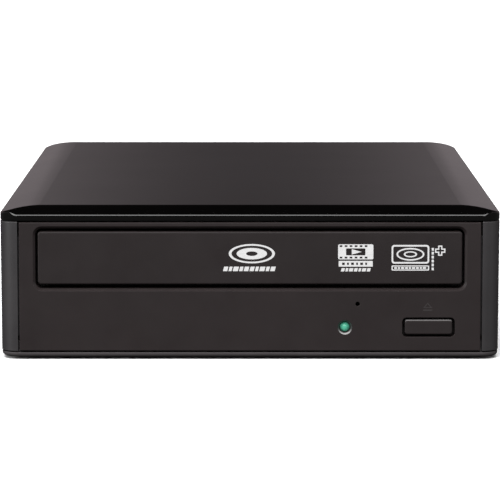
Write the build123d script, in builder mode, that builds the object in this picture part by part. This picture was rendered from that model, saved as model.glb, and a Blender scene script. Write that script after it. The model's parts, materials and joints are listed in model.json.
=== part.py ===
"""External optical drive: a desktop case with a half-height tray-loading disc drive inside.

Frame: the origin is on the floor under the middle of the case, X to the right, Y to the rear, Z up.
The front panel faces -Y. All sizes are in millimetres.
"""

from build123d import *
from math import atan2, cos, degrees, pi, radians, sin
import os

os.makedirs("parts", exist_ok=True)

# ---------------------------------------------------------------- driving dimensions
CASE_W = 165.0  # over the side panels and the lid
CASE_D = 241.0
CASE_H = 51.0  # floor to the top of the lid, feet included
FOOT_H = 0.8  # the feet's height below the base
CORNER_R = 6.0  # plan radius of the case's upright corners
DRAFT = 0.2  # how far each side leans in toward the base

BASE_Z = FOOT_H
BASE_T = 1.6
BASE_INSET = 0.35
SIDE_Z = (2.9, 45.9)
FRONT_Z = (3.0, 45.65)
LID_Z = 46.1
LID_SHOULDER_Z = 48.0  # where the lid's front and rear edges start to roll
LID_SIDE_SHOULDER_Z = 48.7  # the same at the two sides, which stand taller
LID_ROLL_FRONT = 5.0
LID_ROLL_SIDE = 13.0
LID_ARRIS_R = 0.75  # rounding of the arris between the roll and the upright edge
LID_FOOT_R = 0.4
LID_TRIM = 0.3  # how far the rolled profiles run past the plan outline that trims them
LID_T = 1.8
LID_EDGE_POCKET_Z = 47.9  # the hollow's ceiling near the rolled edges
LID_POCKET_HALF = (72.0, 114.0)  # the deeper hollow's half width and half length
WALL_T = 2.2
SEAM_X = 76.6  # the side panels wrap the corners as far as this
PANEL_HALF_W = 76.05

FRONT_Y = -CASE_D / 2
REAR_Y = CASE_D / 2
FRONT_BACK_Y = FRONT_Y + WALL_T
REAR_BACK_Y = REAR_Y - WALL_T
SIDE_IN_X = CASE_W / 2 - WALL_T - DRAFT  # the side panels' inner face

# openings in the front panel
TRAY_HOLE_W = 141.4
TRAY_HOLE_Z = (23.7, 43.6)
TRAY_HOLE_R = 2.2
TRAY_HOLE_CHAMFER = 0.8
PIN_X = 35.5
PIN_Z = 18.6
PIN_R = 0.75
LED_X = 31.3
LED_Z = 10.8
LED_R = 1.6
LED_CONE_R = 2.4
BUTTON_X = 58.9
BUTTON_Z = 10.85
BUTTON_HOLE = (17.4, 6.5, 1.5)  # width, height, corner radius
BUTTON_CAP = (15.7, 4.9, 0.9)
FIT = 0.05  # radial clearance of a pin, shaft or screw in its hole
OVERLAP = 0.1  # joined solids run this far into each other
SMALL_RECESS_R = 0.8  # driver recess of the small screws
SMALL_HEAD_T = 1.1
BOARD_HOLE_R = 1.6
BOARD_SCREW_R = 1.0

# tray
TRAY_HALF_W = 64.0
TRAY_Y = (-117.9, 42.0)
TRAY_TOP_Z = 39.2
TRAY_WELL_Z = 34.0
TRAY_SMALL_WELL_Z = 32.9
TRAY_FLOOR_T = 1.6
TRAY_RUNNER_Z = 29.0
DISC_Y = -51.0  # disc centre when the tray is home
WELL_R = 60.6
SMALL_WELL_R = 40.6
SLOT_HALF_W = 23.0
REAR_BAR_Z = 37.3  # underside of the bar that closes the slot at the tray's rear
DOOR_HALF_W = 69.9
DOOR_Z = (25.05, 42.65)
DOOR_T = 2.1
DOOR_SET_BACK = 0.25

# half-height drive inside the case
DRIVE_HALF_W = 73.0
DRIVE_Y = (-112.0, 58.0)
DRIVE_Z = (4.4, 45.7)
SHEET_T = 0.8


def export(builder, label):
    """Label a sub-part and write it to its own file."""
    builder.part.label = label
    export_step(builder.part, f"parts/{label}.step")


def gear_outline(teeth, module, backlash):
    """Corner points of a spur gear with straight-sided teeth, first tooth centred on +X."""
    pitch_r = teeth * module / 2
    tip_r = pitch_r + GEAR_ADDENDUM * module
    root_r = pitch_r - GEAR_DEDENDUM * module
    half_at_pitch = (pi * module / 2 - backlash) / 2
    half_at_tip = half_at_pitch - GEAR_SLOPE * (tip_r - pitch_r)
    half_at_root = half_at_pitch + GEAR_SLOPE * (pitch_r - root_r)
    points = []
    for tooth in range(teeth):
        middle = 2 * pi * tooth / teeth
        for radius, half, side in (
            (root_r, half_at_root, -1),
            (tip_r, half_at_tip, -1),
            (tip_r, half_at_tip, 1),
            (root_r, half_at_root, 1),
        ):
            angle = middle + side * half / radius
            points.append((radius * cos(angle), radius * sin(angle)))
    return points


GEAR_ADDENDUM = 0.75
GEAR_DEDENDUM = 1.1
GEAR_SLOPE = 0.42

# ---------------------------------------------------------------- base pan
FOOT_R = 6.0
FOOT_POCKET = 0.4
FOOT_AT = ((-52.0, -88.0), (52.0, -88.0), (-52.0, 88.0), (52.0, 88.0))
SCREW_AT = ((-76.7, -96.0), (76.7, -96.0), (-76.7, 96.0), (76.7, 96.0))
SCREW_HEAD_R = 2.4
SCREW_SHANK_R = 1.2
SCREW_CLEAR_R = 1.5
SCREW_PAD = (6.0, 8.0)
SCREW_HEAD_Z = (1.3, 2.6)
PAD_TOP_Z = 3.8
RIB_INSET = WALL_T + 0.6
RIB_T = 1.5
RIB_TOP_Z = 6.0
RIB_GAP_REACH = 24.0  # the rib is left out beside the side panels' screw bosses
BOSS_W = 6.0
POST_R = 3.0
BOARD_Z = 10.0
POST_AT = ((-60.0, 68.0), (60.0, 68.0), (-60.0, 108.0), (60.0, 108.0))
VENT_W = 2.0
VENT_L = 22.0
VENT_PITCH = 5.0
VENT_Y = 78.0
VENT_COUNT = 9
BASE_ROLL_R = 1.3
RIB_GAP = 1.0
FOOT_GAP = 0.1
FOOT_CHAMFER = 0.3
SCREW_HEAD_GAP = 0.3
SCREW_RECESS_T = 0.7
CASE_SCREW_RECESS_R = 0.9
CASE_SCREW_L = 9.0
POST_BORE = 6.0

with BuildPart() as base_pan:
    with BuildSketch(Plane.XY.offset(BASE_Z)):
        RectangleRounded(CASE_W - 2 * BASE_INSET, CASE_D - 2 * BASE_INSET, CORNER_R)
    extrude(amount=BASE_T)
    fillet(base_pan.faces().sort_by(Axis.Z)[0].edges(), radius=BASE_ROLL_R)
    rib_w = CASE_W - 2 * RIB_INSET
    rib_d = CASE_D - 2 * RIB_INSET
    with BuildSketch(Plane.XY.offset(BASE_Z + BASE_T)):
        RectangleRounded(rib_w, rib_d, CORNER_R - WALL_T)
        RectangleRounded(rib_w - 2 * RIB_T, rib_d - 2 * RIB_T, CORNER_R - WALL_T - RIB_T, mode=Mode.SUBTRACT)
        with Locations(*SCREW_AT):
            Rectangle(RIB_GAP_REACH, BOSS_W + 2 * RIB_GAP, mode=Mode.SUBTRACT)
    extrude(amount=RIB_TOP_Z - BASE_Z - BASE_T)
    with BuildSketch(Plane.XY.offset(BASE_Z + BASE_T)):
        with Locations(*SCREW_AT):
            Rectangle(*SCREW_PAD)
    extrude(amount=PAD_TOP_Z - BASE_Z - BASE_T)
    with BuildSketch(Plane.XY.offset(BASE_Z + BASE_T)):
        with Locations(*POST_AT):
            Circle(POST_R)
    extrude(amount=BOARD_Z - BASE_Z - BASE_T)
    with BuildSketch(Plane.XY.offset(BASE_Z)):
        with Locations(*FOOT_AT):
            Circle(FOOT_R + FOOT_GAP)
    extrude(amount=FOOT_POCKET, mode=Mode.SUBTRACT)
    with BuildSketch(Plane.XY.offset(BASE_Z)):
        with Locations(*SCREW_AT):
            Circle(SCREW_HEAD_R + SCREW_HEAD_GAP)
    extrude(amount=SCREW_HEAD_Z[1] - BASE_Z, mode=Mode.SUBTRACT)
    with BuildSketch(Plane.XY.offset(BASE_Z)):
        with Locations(*SCREW_AT):
            Circle(SCREW_CLEAR_R)
    extrude(amount=PAD_TOP_Z - BASE_Z, mode=Mode.SUBTRACT)
    with BuildSketch(Plane.XY.offset(BASE_Z)):
        with Locations((0, VENT_Y)):
            with GridLocations(VENT_PITCH, 1, VENT_COUNT, 1):
                SlotOverall(VENT_L, VENT_W, rotation=90)
    extrude(amount=BASE_T, mode=Mode.SUBTRACT)
    with BuildSketch(Plane.XY.offset(BOARD_Z)):
        with Locations(*POST_AT):
            Circle(BOARD_SCREW_R + FIT)
    extrude(amount=-POST_BORE, mode=Mode.SUBTRACT)
export(base_pan, "base_pan")

with BuildPart() as rubber_feet:
    with BuildSketch():
        with Locations(*FOOT_AT):
            Circle(FOOT_R)
    extrude(amount=FOOT_H + FOOT_POCKET)
    chamfer(rubber_feet.faces().group_by(Axis.Z)[0].edges(), length=FOOT_CHAMFER)
export(rubber_feet, "rubber_feet")

with BuildPart() as case_screws:
    with BuildSketch(Plane.XY.offset(SCREW_HEAD_Z[0])):
        with Locations(*SCREW_AT):
            Circle(SCREW_HEAD_R)
            RegularPolygon(CASE_SCREW_RECESS_R, 6, mode=Mode.SUBTRACT)
    extrude(amount=SCREW_RECESS_T)
    with BuildSketch(Plane.XY.offset(SCREW_HEAD_Z[0] + SCREW_RECESS_T)):
        with Locations(*SCREW_AT):
            Circle(SCREW_HEAD_R)
    extrude(amount=SCREW_HEAD_Z[1] - SCREW_HEAD_Z[0] - SCREW_RECESS_T)
    with BuildSketch(Plane.XY.offset(SCREW_HEAD_Z[1])):
        with Locations(*SCREW_AT):
            Circle(SCREW_SHANK_R)
    extrude(amount=CASE_SCREW_L)
export(case_screws, "case_screws")

# ---------------------------------------------------------------- side panels
BOSS_TOP_Z = 16.0
LEDGE_Z = (39.6, 41.2)
LEDGE_W = 2.6
TONGUE_T = 1.4
SIDE_BROW_R = 0.35  # rounding along the top of each side panel
TONGUE_X = (73.6, 77.4)
TONGUE_Z = (7.9, 41.0)
TONGUE_ROOT = 0.4
SEAM_GAP = 0.1
LEDGE_PITCH = 70.0
LEDGE_L = 12.0


def x_span(side, near, far):
    """Middle and width of a strip between two distances from the middle plane."""
    return side * (near + far) / 2, far - near


for side, label in ((1, "right_side_panel"), (-1, "left_side_panel")):
    tongue, tongue_w = x_span(side, *TONGUE_X)
    root, root_w = x_span(side, TONGUE_X[1] - TONGUE_ROOT, SIDE_IN_X + OVERLAP)
    screws = [spot for spot in SCREW_AT if spot[0] * side > 0]
    rib, rib_len = x_span(side, abs(screws[0][0]) + BOSS_W / 2 - 2 * OVERLAP, SIDE_IN_X + OVERLAP)
    ledge, ledge_w = x_span(side, SIDE_IN_X - LEDGE_W, SIDE_IN_X + OVERLAP)
    with BuildPart() as side_panel:
        # the wall leans in toward the base and wraps both corners
        with BuildSketch(Plane.XY.offset(SIDE_Z[0])):
            RectangleRounded(CASE_W - 2 * DRAFT, CASE_D - 2 * DRAFT, CORNER_R)
        with BuildSketch(Plane.XY.offset(SIDE_Z[1])):
            RectangleRounded(CASE_W, CASE_D, CORNER_R)
        loft()
        with BuildSketch(Plane.XY.offset(SIDE_Z[0])):
            RectangleRounded(2 * SIDE_IN_X, CASE_D - 2 * WALL_T, CORNER_R - WALL_T)
            with Locations((-side * CASE_W / 2, 0)):
                Rectangle(CASE_W + 2 * SEAM_X, CASE_D)
        extrude(amount=SIDE_Z[1] - SIDE_Z[0], mode=Mode.SUBTRACT)
        top_edges = side_panel.faces().sort_by(Axis.Z)[-1].edges()
        brow = top_edges.filter_by(lambda edge: abs(edge.center().X) > SIDE_IN_X + WALL_T / 4)
        fillet(brow, radius=SIDE_BROW_R)
        # tongues behind the front and rear panels, which close the seams
        with BuildSketch(Plane.XY.offset(TONGUE_Z[0])):
            for end in (-1, 1):
                back = end * (REAR_BACK_Y - SEAM_GAP - TONGUE_T / 2)
                with Locations((tongue, back)):
                    Rectangle(tongue_w, TONGUE_T)
                with Locations((root, back + end * SEAM_GAP)):
                    Rectangle(root_w, TONGUE_T + 2 * SEAM_GAP)
        extrude(amount=TONGUE_Z[1] - TONGUE_Z[0])
        # screw bosses over the base pan's pads
        with BuildSketch(Plane.XY.offset(PAD_TOP_Z)):
            with Locations(*screws):
                Rectangle(BOSS_W, BOSS_W)
            with Locations(*[(rib, y) for _, y in screws]):
                Rectangle(rib_len, BOSS_W / 2)
        extrude(amount=BOSS_TOP_Z - PAD_TOP_Z)
        with BuildSketch(Plane.XY.offset(PAD_TOP_Z)):
            with Locations(*screws):
                Circle(SCREW_SHANK_R + FIT)
        extrude(amount=BOSS_TOP_Z - PAD_TOP_Z, mode=Mode.SUBTRACT)
        # ledges under the lid's lip
        with BuildSketch(Plane.XY.offset(LEDGE_Z[0])):
            with Locations((ledge, 0)):
                with GridLocations(1, LEDGE_PITCH, 1, 3):
                    Rectangle(ledge_w, LEDGE_L)
        extrude(amount=LEDGE_Z[1] - LEDGE_Z[0])
    export(side_panel, label)

# ---------------------------------------------------------------- lid
LIP_X = (78.2, 79.8)
LIP_L = 214.0
LID_STEEP_DEG = 60  # the upright corners' edges are steeper than this and keep their shape


with BuildPart() as top_cover:
    # short upright edges, then a curved roll up to the flat top: first across, then front to rear
    for plane, half, other_half, shoulder_z, roll, mode in (
        (Plane.XZ, CASE_W / 2, CASE_D / 2, LID_SIDE_SHOULDER_Z, LID_ROLL_SIDE, Mode.ADD),
        (Plane.YZ, CASE_D / 2, CASE_W / 2, LID_SHOULDER_Z, LID_ROLL_FRONT, Mode.INTERSECT),
    ):
        flat = half - roll
        drop = CASE_H - shoulder_z
        radius = (roll**2 + drop**2) / (2 * drop)
        end = half + LID_TRIM
        end_z = CASE_H - radius + (radius**2 - (roll + LID_TRIM) ** 2) ** 0.5
        with BuildSketch(plane):
            with BuildLine():
                Polyline((-end, end_z), (-end, LID_Z), (end, LID_Z), (end, end_z))
                TangentArc((flat, CASE_H), (end, end_z), tangent=(1, 0))
                Line((flat, CASE_H), (-flat, CASE_H))
                TangentArc((-flat, CASE_H), (-end, end_z), tangent=(-1, 0))
            make_face()
        extrude(amount=other_half + LID_TRIM, both=True, mode=mode)
    with BuildSketch(Plane.XY.offset(LID_Z)):
        RectangleRounded(CASE_W, CASE_D, CORNER_R)
    extrude(amount=CASE_H - LID_Z, mode=Mode.INTERSECT)
    arris = top_cover.edges().filter_by(
        lambda edge: LID_Z + LID_ARRIS_R < edge.center().Z < CASE_H - LID_FOOT_R
        and abs(edge.tangent_at(0.5).Z) < sin(radians(LID_STEEP_DEG))
        and (
            abs(edge.center().X) > (CASE_W - CORNER_R) / 2
            or abs(edge.center().Y) > (CASE_D - CORNER_R) / 2
        )
    )
    fillet(arris, radius=LID_ARRIS_R)
    fillet(top_cover.faces().sort_by(Axis.Z)[0].edges(), radius=LID_FOOT_R)
    with BuildSketch(Plane.XY.offset(LID_Z)):
        RectangleRounded(CASE_W - 2 * LID_T, CASE_D - 2 * LID_T, CORNER_R - LID_T)
    extrude(amount=LID_EDGE_POCKET_Z - LID_Z, mode=Mode.SUBTRACT)
    with BuildSketch(Plane.XY.offset(LID_Z)):
        Rectangle(2 * LID_POCKET_HALF[0], 2 * LID_POCKET_HALF[1])
    extrude(amount=CASE_H - LID_T - LID_Z, mode=Mode.SUBTRACT)
    with BuildSketch(Plane.XY.offset(LEDGE_Z[1])):
        for side in (-1, 1):
            lip, lip_w = x_span(side, *LIP_X)
            with Locations((lip, 0)):
                Rectangle(lip_w, LIP_L)
    extrude(amount=CASE_H - LID_T - LEDGE_Z[1])
export(top_cover, "top_cover")

# ---------------------------------------------------------------- front panel
SHROUD_T = 1.3
SHROUD_END_Y = -113.6
COLLAR_T = 1.2
COLLAR_END_Y = -115.8
FOOT_TAB_Z = (3.2, 5.8)
PANEL_EDGE_R = 0.25
FRONT_TAB_X = (-60.0, -30.0, 0.0, 30.0)
TAB_W = 6.0
TAB_REACH = 0.6
LED_CONE_DEPTH = 1.3


def panel_plane(y):
    """A sketch plane facing the front at the given depth: sketch X is the frame's X, sketch Y is its Z."""
    return Plane(origin=(0, y, 0), x_dir=(1, 0, 0), z_dir=(0, -1, 0))


tray_hole_h = TRAY_HOLE_Z[1] - TRAY_HOLE_Z[0]
tray_hole_mid = (0, (TRAY_HOLE_Z[0] + TRAY_HOLE_Z[1]) / 2)
front_mid = (0, (FRONT_Z[0] + FRONT_Z[1]) / 2)
front_h = FRONT_Z[1] - FRONT_Z[0]

with BuildPart() as front_panel:
    with BuildSketch(panel_plane(FRONT_BACK_Y)):
        with Locations(front_mid):
            Rectangle(2 * PANEL_HALF_W, front_h)
    extrude(amount=WALL_T)
    fillet(front_panel.faces().sort_by(Axis.Y)[0].edges(), radius=PANEL_EDGE_R)
    with BuildSketch(panel_plane(SHROUD_END_Y)):
        with Locations(tray_hole_mid):
            Rectangle(TRAY_HOLE_W + 2 * SHROUD_T, tray_hole_h + 2 * SHROUD_T)
    extrude(amount=SHROUD_END_Y - FRONT_BACK_Y)
    with BuildSketch(panel_plane(COLLAR_END_Y)):
        with Locations((BUTTON_X, BUTTON_Z)):
            Rectangle(BUTTON_HOLE[0] + 2 * COLLAR_T, BUTTON_HOLE[1] + 2 * COLLAR_T)
    extrude(amount=COLLAR_END_Y - FRONT_BACK_Y)
    with BuildSketch(panel_plane(FRONT_BACK_Y + TAB_REACH)):
        with Locations(*[(x, sum(FOOT_TAB_Z) / 2) for x in FRONT_TAB_X]):
            Rectangle(TAB_W, FOOT_TAB_Z[1] - FOOT_TAB_Z[0])
    extrude(amount=TAB_REACH)
    with BuildSketch(panel_plane(SHROUD_END_Y)):
        with Locations(tray_hole_mid):
            RectangleRounded(TRAY_HOLE_W, tray_hole_h, TRAY_HOLE_R)
        with Locations((BUTTON_X, BUTTON_Z)):
            RectangleRounded(*BUTTON_HOLE)
        with Locations((PIN_X, PIN_Z)):
            Circle(PIN_R)
        with Locations((LED_X, LED_Z)):
            Circle(LED_R + FIT)
    extrude(amount=SHROUD_END_Y - FRONT_Y, mode=Mode.SUBTRACT)
    # conical seat round the lamp
    with BuildSketch(panel_plane(FRONT_Y)):
        with Locations((LED_X, LED_Z)):
            Circle(LED_CONE_R)
    with BuildSketch(panel_plane(FRONT_Y + LED_CONE_DEPTH)):
        with Locations((LED_X, LED_Z)):
            Circle(LED_R + FIT)
    loft(mode=Mode.SUBTRACT)
    tray_rim = (
        front_panel.faces()
        .sort_by(Axis.Y)[0]
        .inner_wires()
        .sort_by(SortBy.LENGTH)[-1]
        .edges()
    )
    chamfer(tray_rim, length=TRAY_HOLE_CHAMFER)
export(front_panel, "front_panel")

# ---------------------------------------------------------------- rear panel
REAR_TAB_X = (-50.0, -20.0, 10.0, 56.0)
SLOT_ROWS_Z = (32.0, 36.0, 40.0)
USB_X = 20.0
USB_SIZE = (12.2, 11.0)
JACK_X = 44.5
JACK_SIZE = (9.0, 11.0)
JACK_HOLE_R = 3.2
SWITCH_X = -36.0
SWITCH_Z = 19.5
SWITCH_SIZE = (21.0, 15.0)
LOCK_X = -66.0
LOCK_SIZE = (7.0, 3.0)
LOCK_R = 1.0
PORT_GAP = 0.3
SWITCH_GAP = 0.1
SLOT_PITCH = 9.0
SLOT_COUNT = 14
SLOT_SIZE = (7.0, 1.8)
BOARD_TOP_Z = BOARD_Z + 1.6
port_z = BOARD_TOP_Z + USB_SIZE[1] / 2

with BuildPart() as rear_panel:
    with BuildSketch(panel_plane(REAR_Y)):
        with Locations(front_mid):
            Rectangle(2 * PANEL_HALF_W, front_h)
    extrude(amount=WALL_T)
    with BuildSketch(panel_plane(REAR_BACK_Y)):
        with Locations(*[(x, sum(FOOT_TAB_Z) / 2) for x in REAR_TAB_X]):
            Rectangle(TAB_W, FOOT_TAB_Z[1] - FOOT_TAB_Z[0])
    extrude(amount=TAB_REACH)
    with BuildSketch(panel_plane(REAR_Y)):
        with Locations((USB_X, port_z)):
            Rectangle(USB_SIZE[0] + 2 * PORT_GAP, USB_SIZE[1] + 2 * PORT_GAP)
        with Locations((JACK_X, BOARD_TOP_Z + JACK_SIZE[1] / 2)):
            Circle(JACK_HOLE_R)
        with Locations((SWITCH_X, SWITCH_Z)):
            Rectangle(SWITCH_SIZE[0] + 2 * SWITCH_GAP, SWITCH_SIZE[1] + 2 * SWITCH_GAP)
        with Locations((LOCK_X, SWITCH_Z)):
            RectangleRounded(*LOCK_SIZE, LOCK_R)
        for z in SLOT_ROWS_Z:
            with Locations((0, z)):
                with GridLocations(SLOT_PITCH, 1, SLOT_COUNT, 1):
                    SlotOverall(*SLOT_SIZE)
    extrude(amount=WALL_T, mode=Mode.SUBTRACT)
export(rear_panel, "rear_panel")

# ---------------------------------------------------------------- tray
FLANGE_T = 1.6
RUNNER_X = (58.6, 64.0)
RACK_PITCH_X = -56.4
RACK_MODULE = 1.0
RACK_Z = (29.0, 31.2)
RACK_Y = (-110.0, 41.0)
BACKLASH = 0.34
PINION_TEETH = 18
PINION_AT = (RACK_PITCH_X + PINION_TEETH * RACK_MODULE / 2, -96.0)
SLOT_END_R = 24.0
SLOT_RUN_OUT = 1.0
REAR_BAR_W = 6.0
WELL_WALL_T = 1.6
RUNNER_SET_BACK = 5.0
TRAY_WALL_T = 2.0
DOOR_R = 1.1
DOOR_EDGE_R = 0.55
DOOR_CLIPS_AT = ((-50.0, 33.5), (0, 33.5), (50.0, 33.5))
DOOR_CLIP = (9.0, 5.0)
BOSS_TAB_Z = (29.5, 37.6)
CORNER_EAR_R = 3.0

tray_mid_y = sum(TRAY_Y) / 2
tray_len = TRAY_Y[1] - TRAY_Y[0]

with BuildPart() as disc_tray:
    # deck with its rim
    with BuildSketch(Plane.XY.offset(TRAY_TOP_Z - FLANGE_T)):
        with Locations((0, tray_mid_y)):
            RectangleRounded(2 * TRAY_HALF_W, tray_len, CORNER_EAR_R)
    extrude(amount=FLANGE_T)
    # the two bowls' outsides
    with BuildSketch(Plane.XY.offset(TRAY_WELL_Z - TRAY_FLOOR_T)):
        with Locations((0, DISC_Y)):
            Circle(WELL_R + WELL_WALL_T)
        with Locations((0, TRAY_Y[1] + WELL_R)):
            Rectangle(4 * WELL_R, 2 * WELL_R, mode=Mode.SUBTRACT)
    extrude(amount=TRAY_TOP_Z - TRAY_WELL_Z + TRAY_FLOOR_T)
    with BuildSketch(Plane.XY.offset(TRAY_SMALL_WELL_Z - TRAY_FLOOR_T)):
        with Locations((0, DISC_Y)):
            Circle(SMALL_WELL_R + WELL_WALL_T)
    extrude(amount=TRAY_TOP_Z - TRAY_SMALL_WELL_Z)
    # the bowls
    with BuildSketch(Plane.XY.offset(TRAY_WELL_Z)):
        with Locations((0, DISC_Y)):
            Circle(WELL_R)
    extrude(amount=TRAY_TOP_Z - TRAY_WELL_Z, mode=Mode.SUBTRACT)
    with BuildSketch(Plane.XY.offset(TRAY_SMALL_WELL_Z)):
        with Locations((0, DISC_Y)):
            Circle(SMALL_WELL_R)
    extrude(amount=TRAY_WELL_Z - TRAY_SMALL_WELL_Z, mode=Mode.SUBTRACT)
    # the slot for the turntable and the pickup, open below, with a thin bar over its rear end
    with BuildSketch(Plane.XY.offset(TRAY_RUNNER_Z)):
        with Locations((0, DISC_Y)):
            Circle(SLOT_END_R)
        with Locations((0, (DISC_Y + TRAY_Y[1] + SLOT_RUN_OUT) / 2)):
            Rectangle(2 * SLOT_HALF_W, TRAY_Y[1] + SLOT_RUN_OUT - DISC_Y)
    extrude(amount=REAR_BAR_Z - TRAY_RUNNER_Z, mode=Mode.SUBTRACT)
    with BuildSketch(Plane.XY.offset(TRAY_RUNNER_Z)):
        with Locations((0, (DISC_Y + TRAY_Y[1] - REAR_BAR_W) / 2)):
            Rectangle(2 * SLOT_HALF_W, TRAY_Y[1] - REAR_BAR_W - DISC_Y)
    extrude(amount=TRAY_TOP_Z - TRAY_RUNNER_Z, mode=Mode.SUBTRACT)
    # runners under both edges, and skirts that stiffen the front
    with BuildSketch(Plane.XY.offset(TRAY_RUNNER_Z)):
        for side in (-1, 1):
            runner, runner_w = x_span(side, *RUNNER_X)
            with Locations((runner, (TRAY_Y[0] + RUNNER_SET_BACK + TRAY_Y[1]) / 2)):
                Rectangle(runner_w, TRAY_Y[1] - TRAY_Y[0] - RUNNER_SET_BACK)
    extrude(amount=TRAY_TOP_Z - FLANGE_T - TRAY_RUNNER_Z)
    # front wall that carries the door
    with BuildSketch(Plane.XY.offset(BOSS_TAB_Z[0])):
        with Locations((0, TRAY_Y[0] + TRAY_WALL_T / 2)):
            Rectangle(2 * TRAY_HALF_W - TRAY_WALL_T, TRAY_WALL_T)
    extrude(amount=BOSS_TAB_Z[1] - BOSS_TAB_Z[0])
    # rack along the left runner
    rack_tip = RACK_PITCH_X + GEAR_ADDENDUM * RACK_MODULE
    rack_root = RACK_PITCH_X - GEAR_DEDENDUM * RACK_MODULE
    half_pitch = (pi * RACK_MODULE / 2 - BACKLASH) / 2
    half_tip = half_pitch - GEAR_SLOPE * GEAR_ADDENDUM * RACK_MODULE
    half_root = half_pitch + GEAR_SLOPE * GEAR_DEDENDUM * RACK_MODULE
    first = int((RACK_Y[0] - PINION_AT[1]) / (pi * RACK_MODULE))
    last = int((RACK_Y[1] - PINION_AT[1]) / (pi * RACK_MODULE))
    with BuildSketch(Plane.XY.offset(RACK_Z[0])):
        with Locations(((rack_root - RUNNER_X[0] - 2 * OVERLAP) / 2, sum(RACK_Y) / 2)):
            Rectangle(rack_root + RUNNER_X[0] + 2 * OVERLAP, RACK_Y[1] - RACK_Y[0])
        for step in range(first, last + 1):
            y = PINION_AT[1] + (step + 0.5) * pi * RACK_MODULE
            with BuildLine():
                Polyline(
                    (rack_root - OVERLAP, y - half_root),
                    (rack_tip, y - half_tip),
                    (rack_tip, y + half_tip),
                    (rack_root - OVERLAP, y + half_root),
                    close=True,
                )
            make_face()
    extrude(amount=RACK_Z[1] - RACK_Z[0])
export(disc_tray, "disc_tray")

door_front = FRONT_Y + DOOR_SET_BACK
door_mid = (0, sum(DOOR_Z) / 2)
door_h = DOOR_Z[1] - DOOR_Z[0]

with BuildPart() as tray_door:
    with BuildSketch(panel_plane(door_front + DOOR_T)):
        with Locations(door_mid):
            RectangleRounded(2 * DOOR_HALF_W, door_h, DOOR_R)
    extrude(amount=DOOR_T)
    fillet(tray_door.faces().sort_by(Axis.Y)[0].edges(), radius=DOOR_EDGE_R)
    # clips that take hold of the tray's front wall
    with BuildSketch(panel_plane(TRAY_Y[0])):
        with Locations(*DOOR_CLIPS_AT):
            Rectangle(*DOOR_CLIP)
    extrude(amount=TRAY_Y[0] - door_front - DOOR_T)
export(tray_door, "tray_door")

# ---------------------------------------------------------------- eject button
CAP_FRONT_Y = FRONT_Y + 0.1
CAP_BACK_Y = -117.4
FLANGE_Y = (-115.7, -114.7)
CAP_EDGE_R = 0.45
CAP_NECK = (12.0, 3.6, 0.8)
CAP_FLANGE = (19.0, 8.0, 1.0)
STEM_R = 1.5
STEM_END_Y = -113.1

with BuildPart() as eject_button:
    with BuildSketch(panel_plane(CAP_BACK_Y)):
        with Locations((BUTTON_X, BUTTON_Z)):
            RectangleRounded(*BUTTON_CAP)
    extrude(amount=CAP_BACK_Y - CAP_FRONT_Y)
    fillet(eject_button.faces().sort_by(Axis.Y)[0].edges(), radius=CAP_EDGE_R)
    with BuildSketch(panel_plane(FLANGE_Y[0])):
        with Locations((BUTTON_X, BUTTON_Z)):
            RectangleRounded(*CAP_NECK)
    extrude(amount=FLANGE_Y[0] - CAP_BACK_Y)
    with BuildSketch(panel_plane(FLANGE_Y[1])):
        with Locations((BUTTON_X, BUTTON_Z)):
            RectangleRounded(*CAP_FLANGE)
    extrude(amount=FLANGE_Y[1] - FLANGE_Y[0])
    with BuildSketch(panel_plane(STEM_END_Y)):
        with Locations((BUTTON_X, BUTTON_Z)):
            Circle(STEM_R)
    extrude(amount=STEM_END_Y - FLANGE_Y[1])
export(eject_button, "eject_button")

# ---------------------------------------------------------------- drive: circuit board and its parts
BOARD_SCREW_REACH = 2.4
BOARD_HEAD_R = 2.3
DRIVE_CHIPS_AT = ((-48.0, 44.0), (24.0, 41.0), (44.0, 43.0))
SMALL_CHIPS_AT = ((-60.0, 20.0), (60.0, 10.0))
CHIP = (12.0, 12.0)
MAIN_CHIP = (16.0, 16.0)
SMALL_CHIP = (6.0, 5.0)
CHIP_T = 1.4
TACT_SIZE = (6.2, 4.0)
PLUNGER_R = 1.0
LED_DOME_R = LED_R - 0.15
LED_FLANGE = 0.4
LEG_PITCH = 1.9
SOCKET_MOUTH = (34.0, 2.6)
MAIN_BOARD_Z = (8.0, 9.6)
MAIN_BOARD_HALF_W = 68.0
MAIN_BOARD_Y = (-77.5, 52.0)
BOARD_ARM_X = (25.0, 68.0)
BOARD_ARM_Y = -107.0
LEG_Y = BOARD_ARM_Y + 2.0
BOARD_HOLES = ((-62.0, -70.0), (62.0, -70.0), (-62.0, 46.0), (62.0, 46.0))
PLUNGER_Y = -112.0
SWITCH_BODY_Y = (-110.6, -106.0)
LED_FRONT_Y = FRONT_Y + 0.5
LED_BASE_Y = (-114.8, -113.8)
LEG_W = 0.5
SOCKET_X = (-34.0, 4.0)
SOCKET_Y = (47.0, 58.4)
SOCKET_Z = (MAIN_BOARD_Z[1], 14.2)
BLADE_Y = (53.5, 60.0)

with BuildPart() as drive_board:
    with BuildSketch(Plane.XY.offset(MAIN_BOARD_Z[0])):
        with Locations((0, sum(MAIN_BOARD_Y) / 2)):
            Rectangle(2 * MAIN_BOARD_HALF_W, MAIN_BOARD_Y[1] - MAIN_BOARD_Y[0])
        with Locations((sum(BOARD_ARM_X) / 2, (BOARD_ARM_Y + MAIN_BOARD_Y[0]) / 2)):
            Rectangle(BOARD_ARM_X[1] - BOARD_ARM_X[0], MAIN_BOARD_Y[0] - BOARD_ARM_Y)
        with Locations(*BOARD_HOLES):
            Circle(BOARD_HOLE_R, mode=Mode.SUBTRACT)
    extrude(amount=MAIN_BOARD_Z[1] - MAIN_BOARD_Z[0])
export(drive_board, "drive_board")

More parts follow.
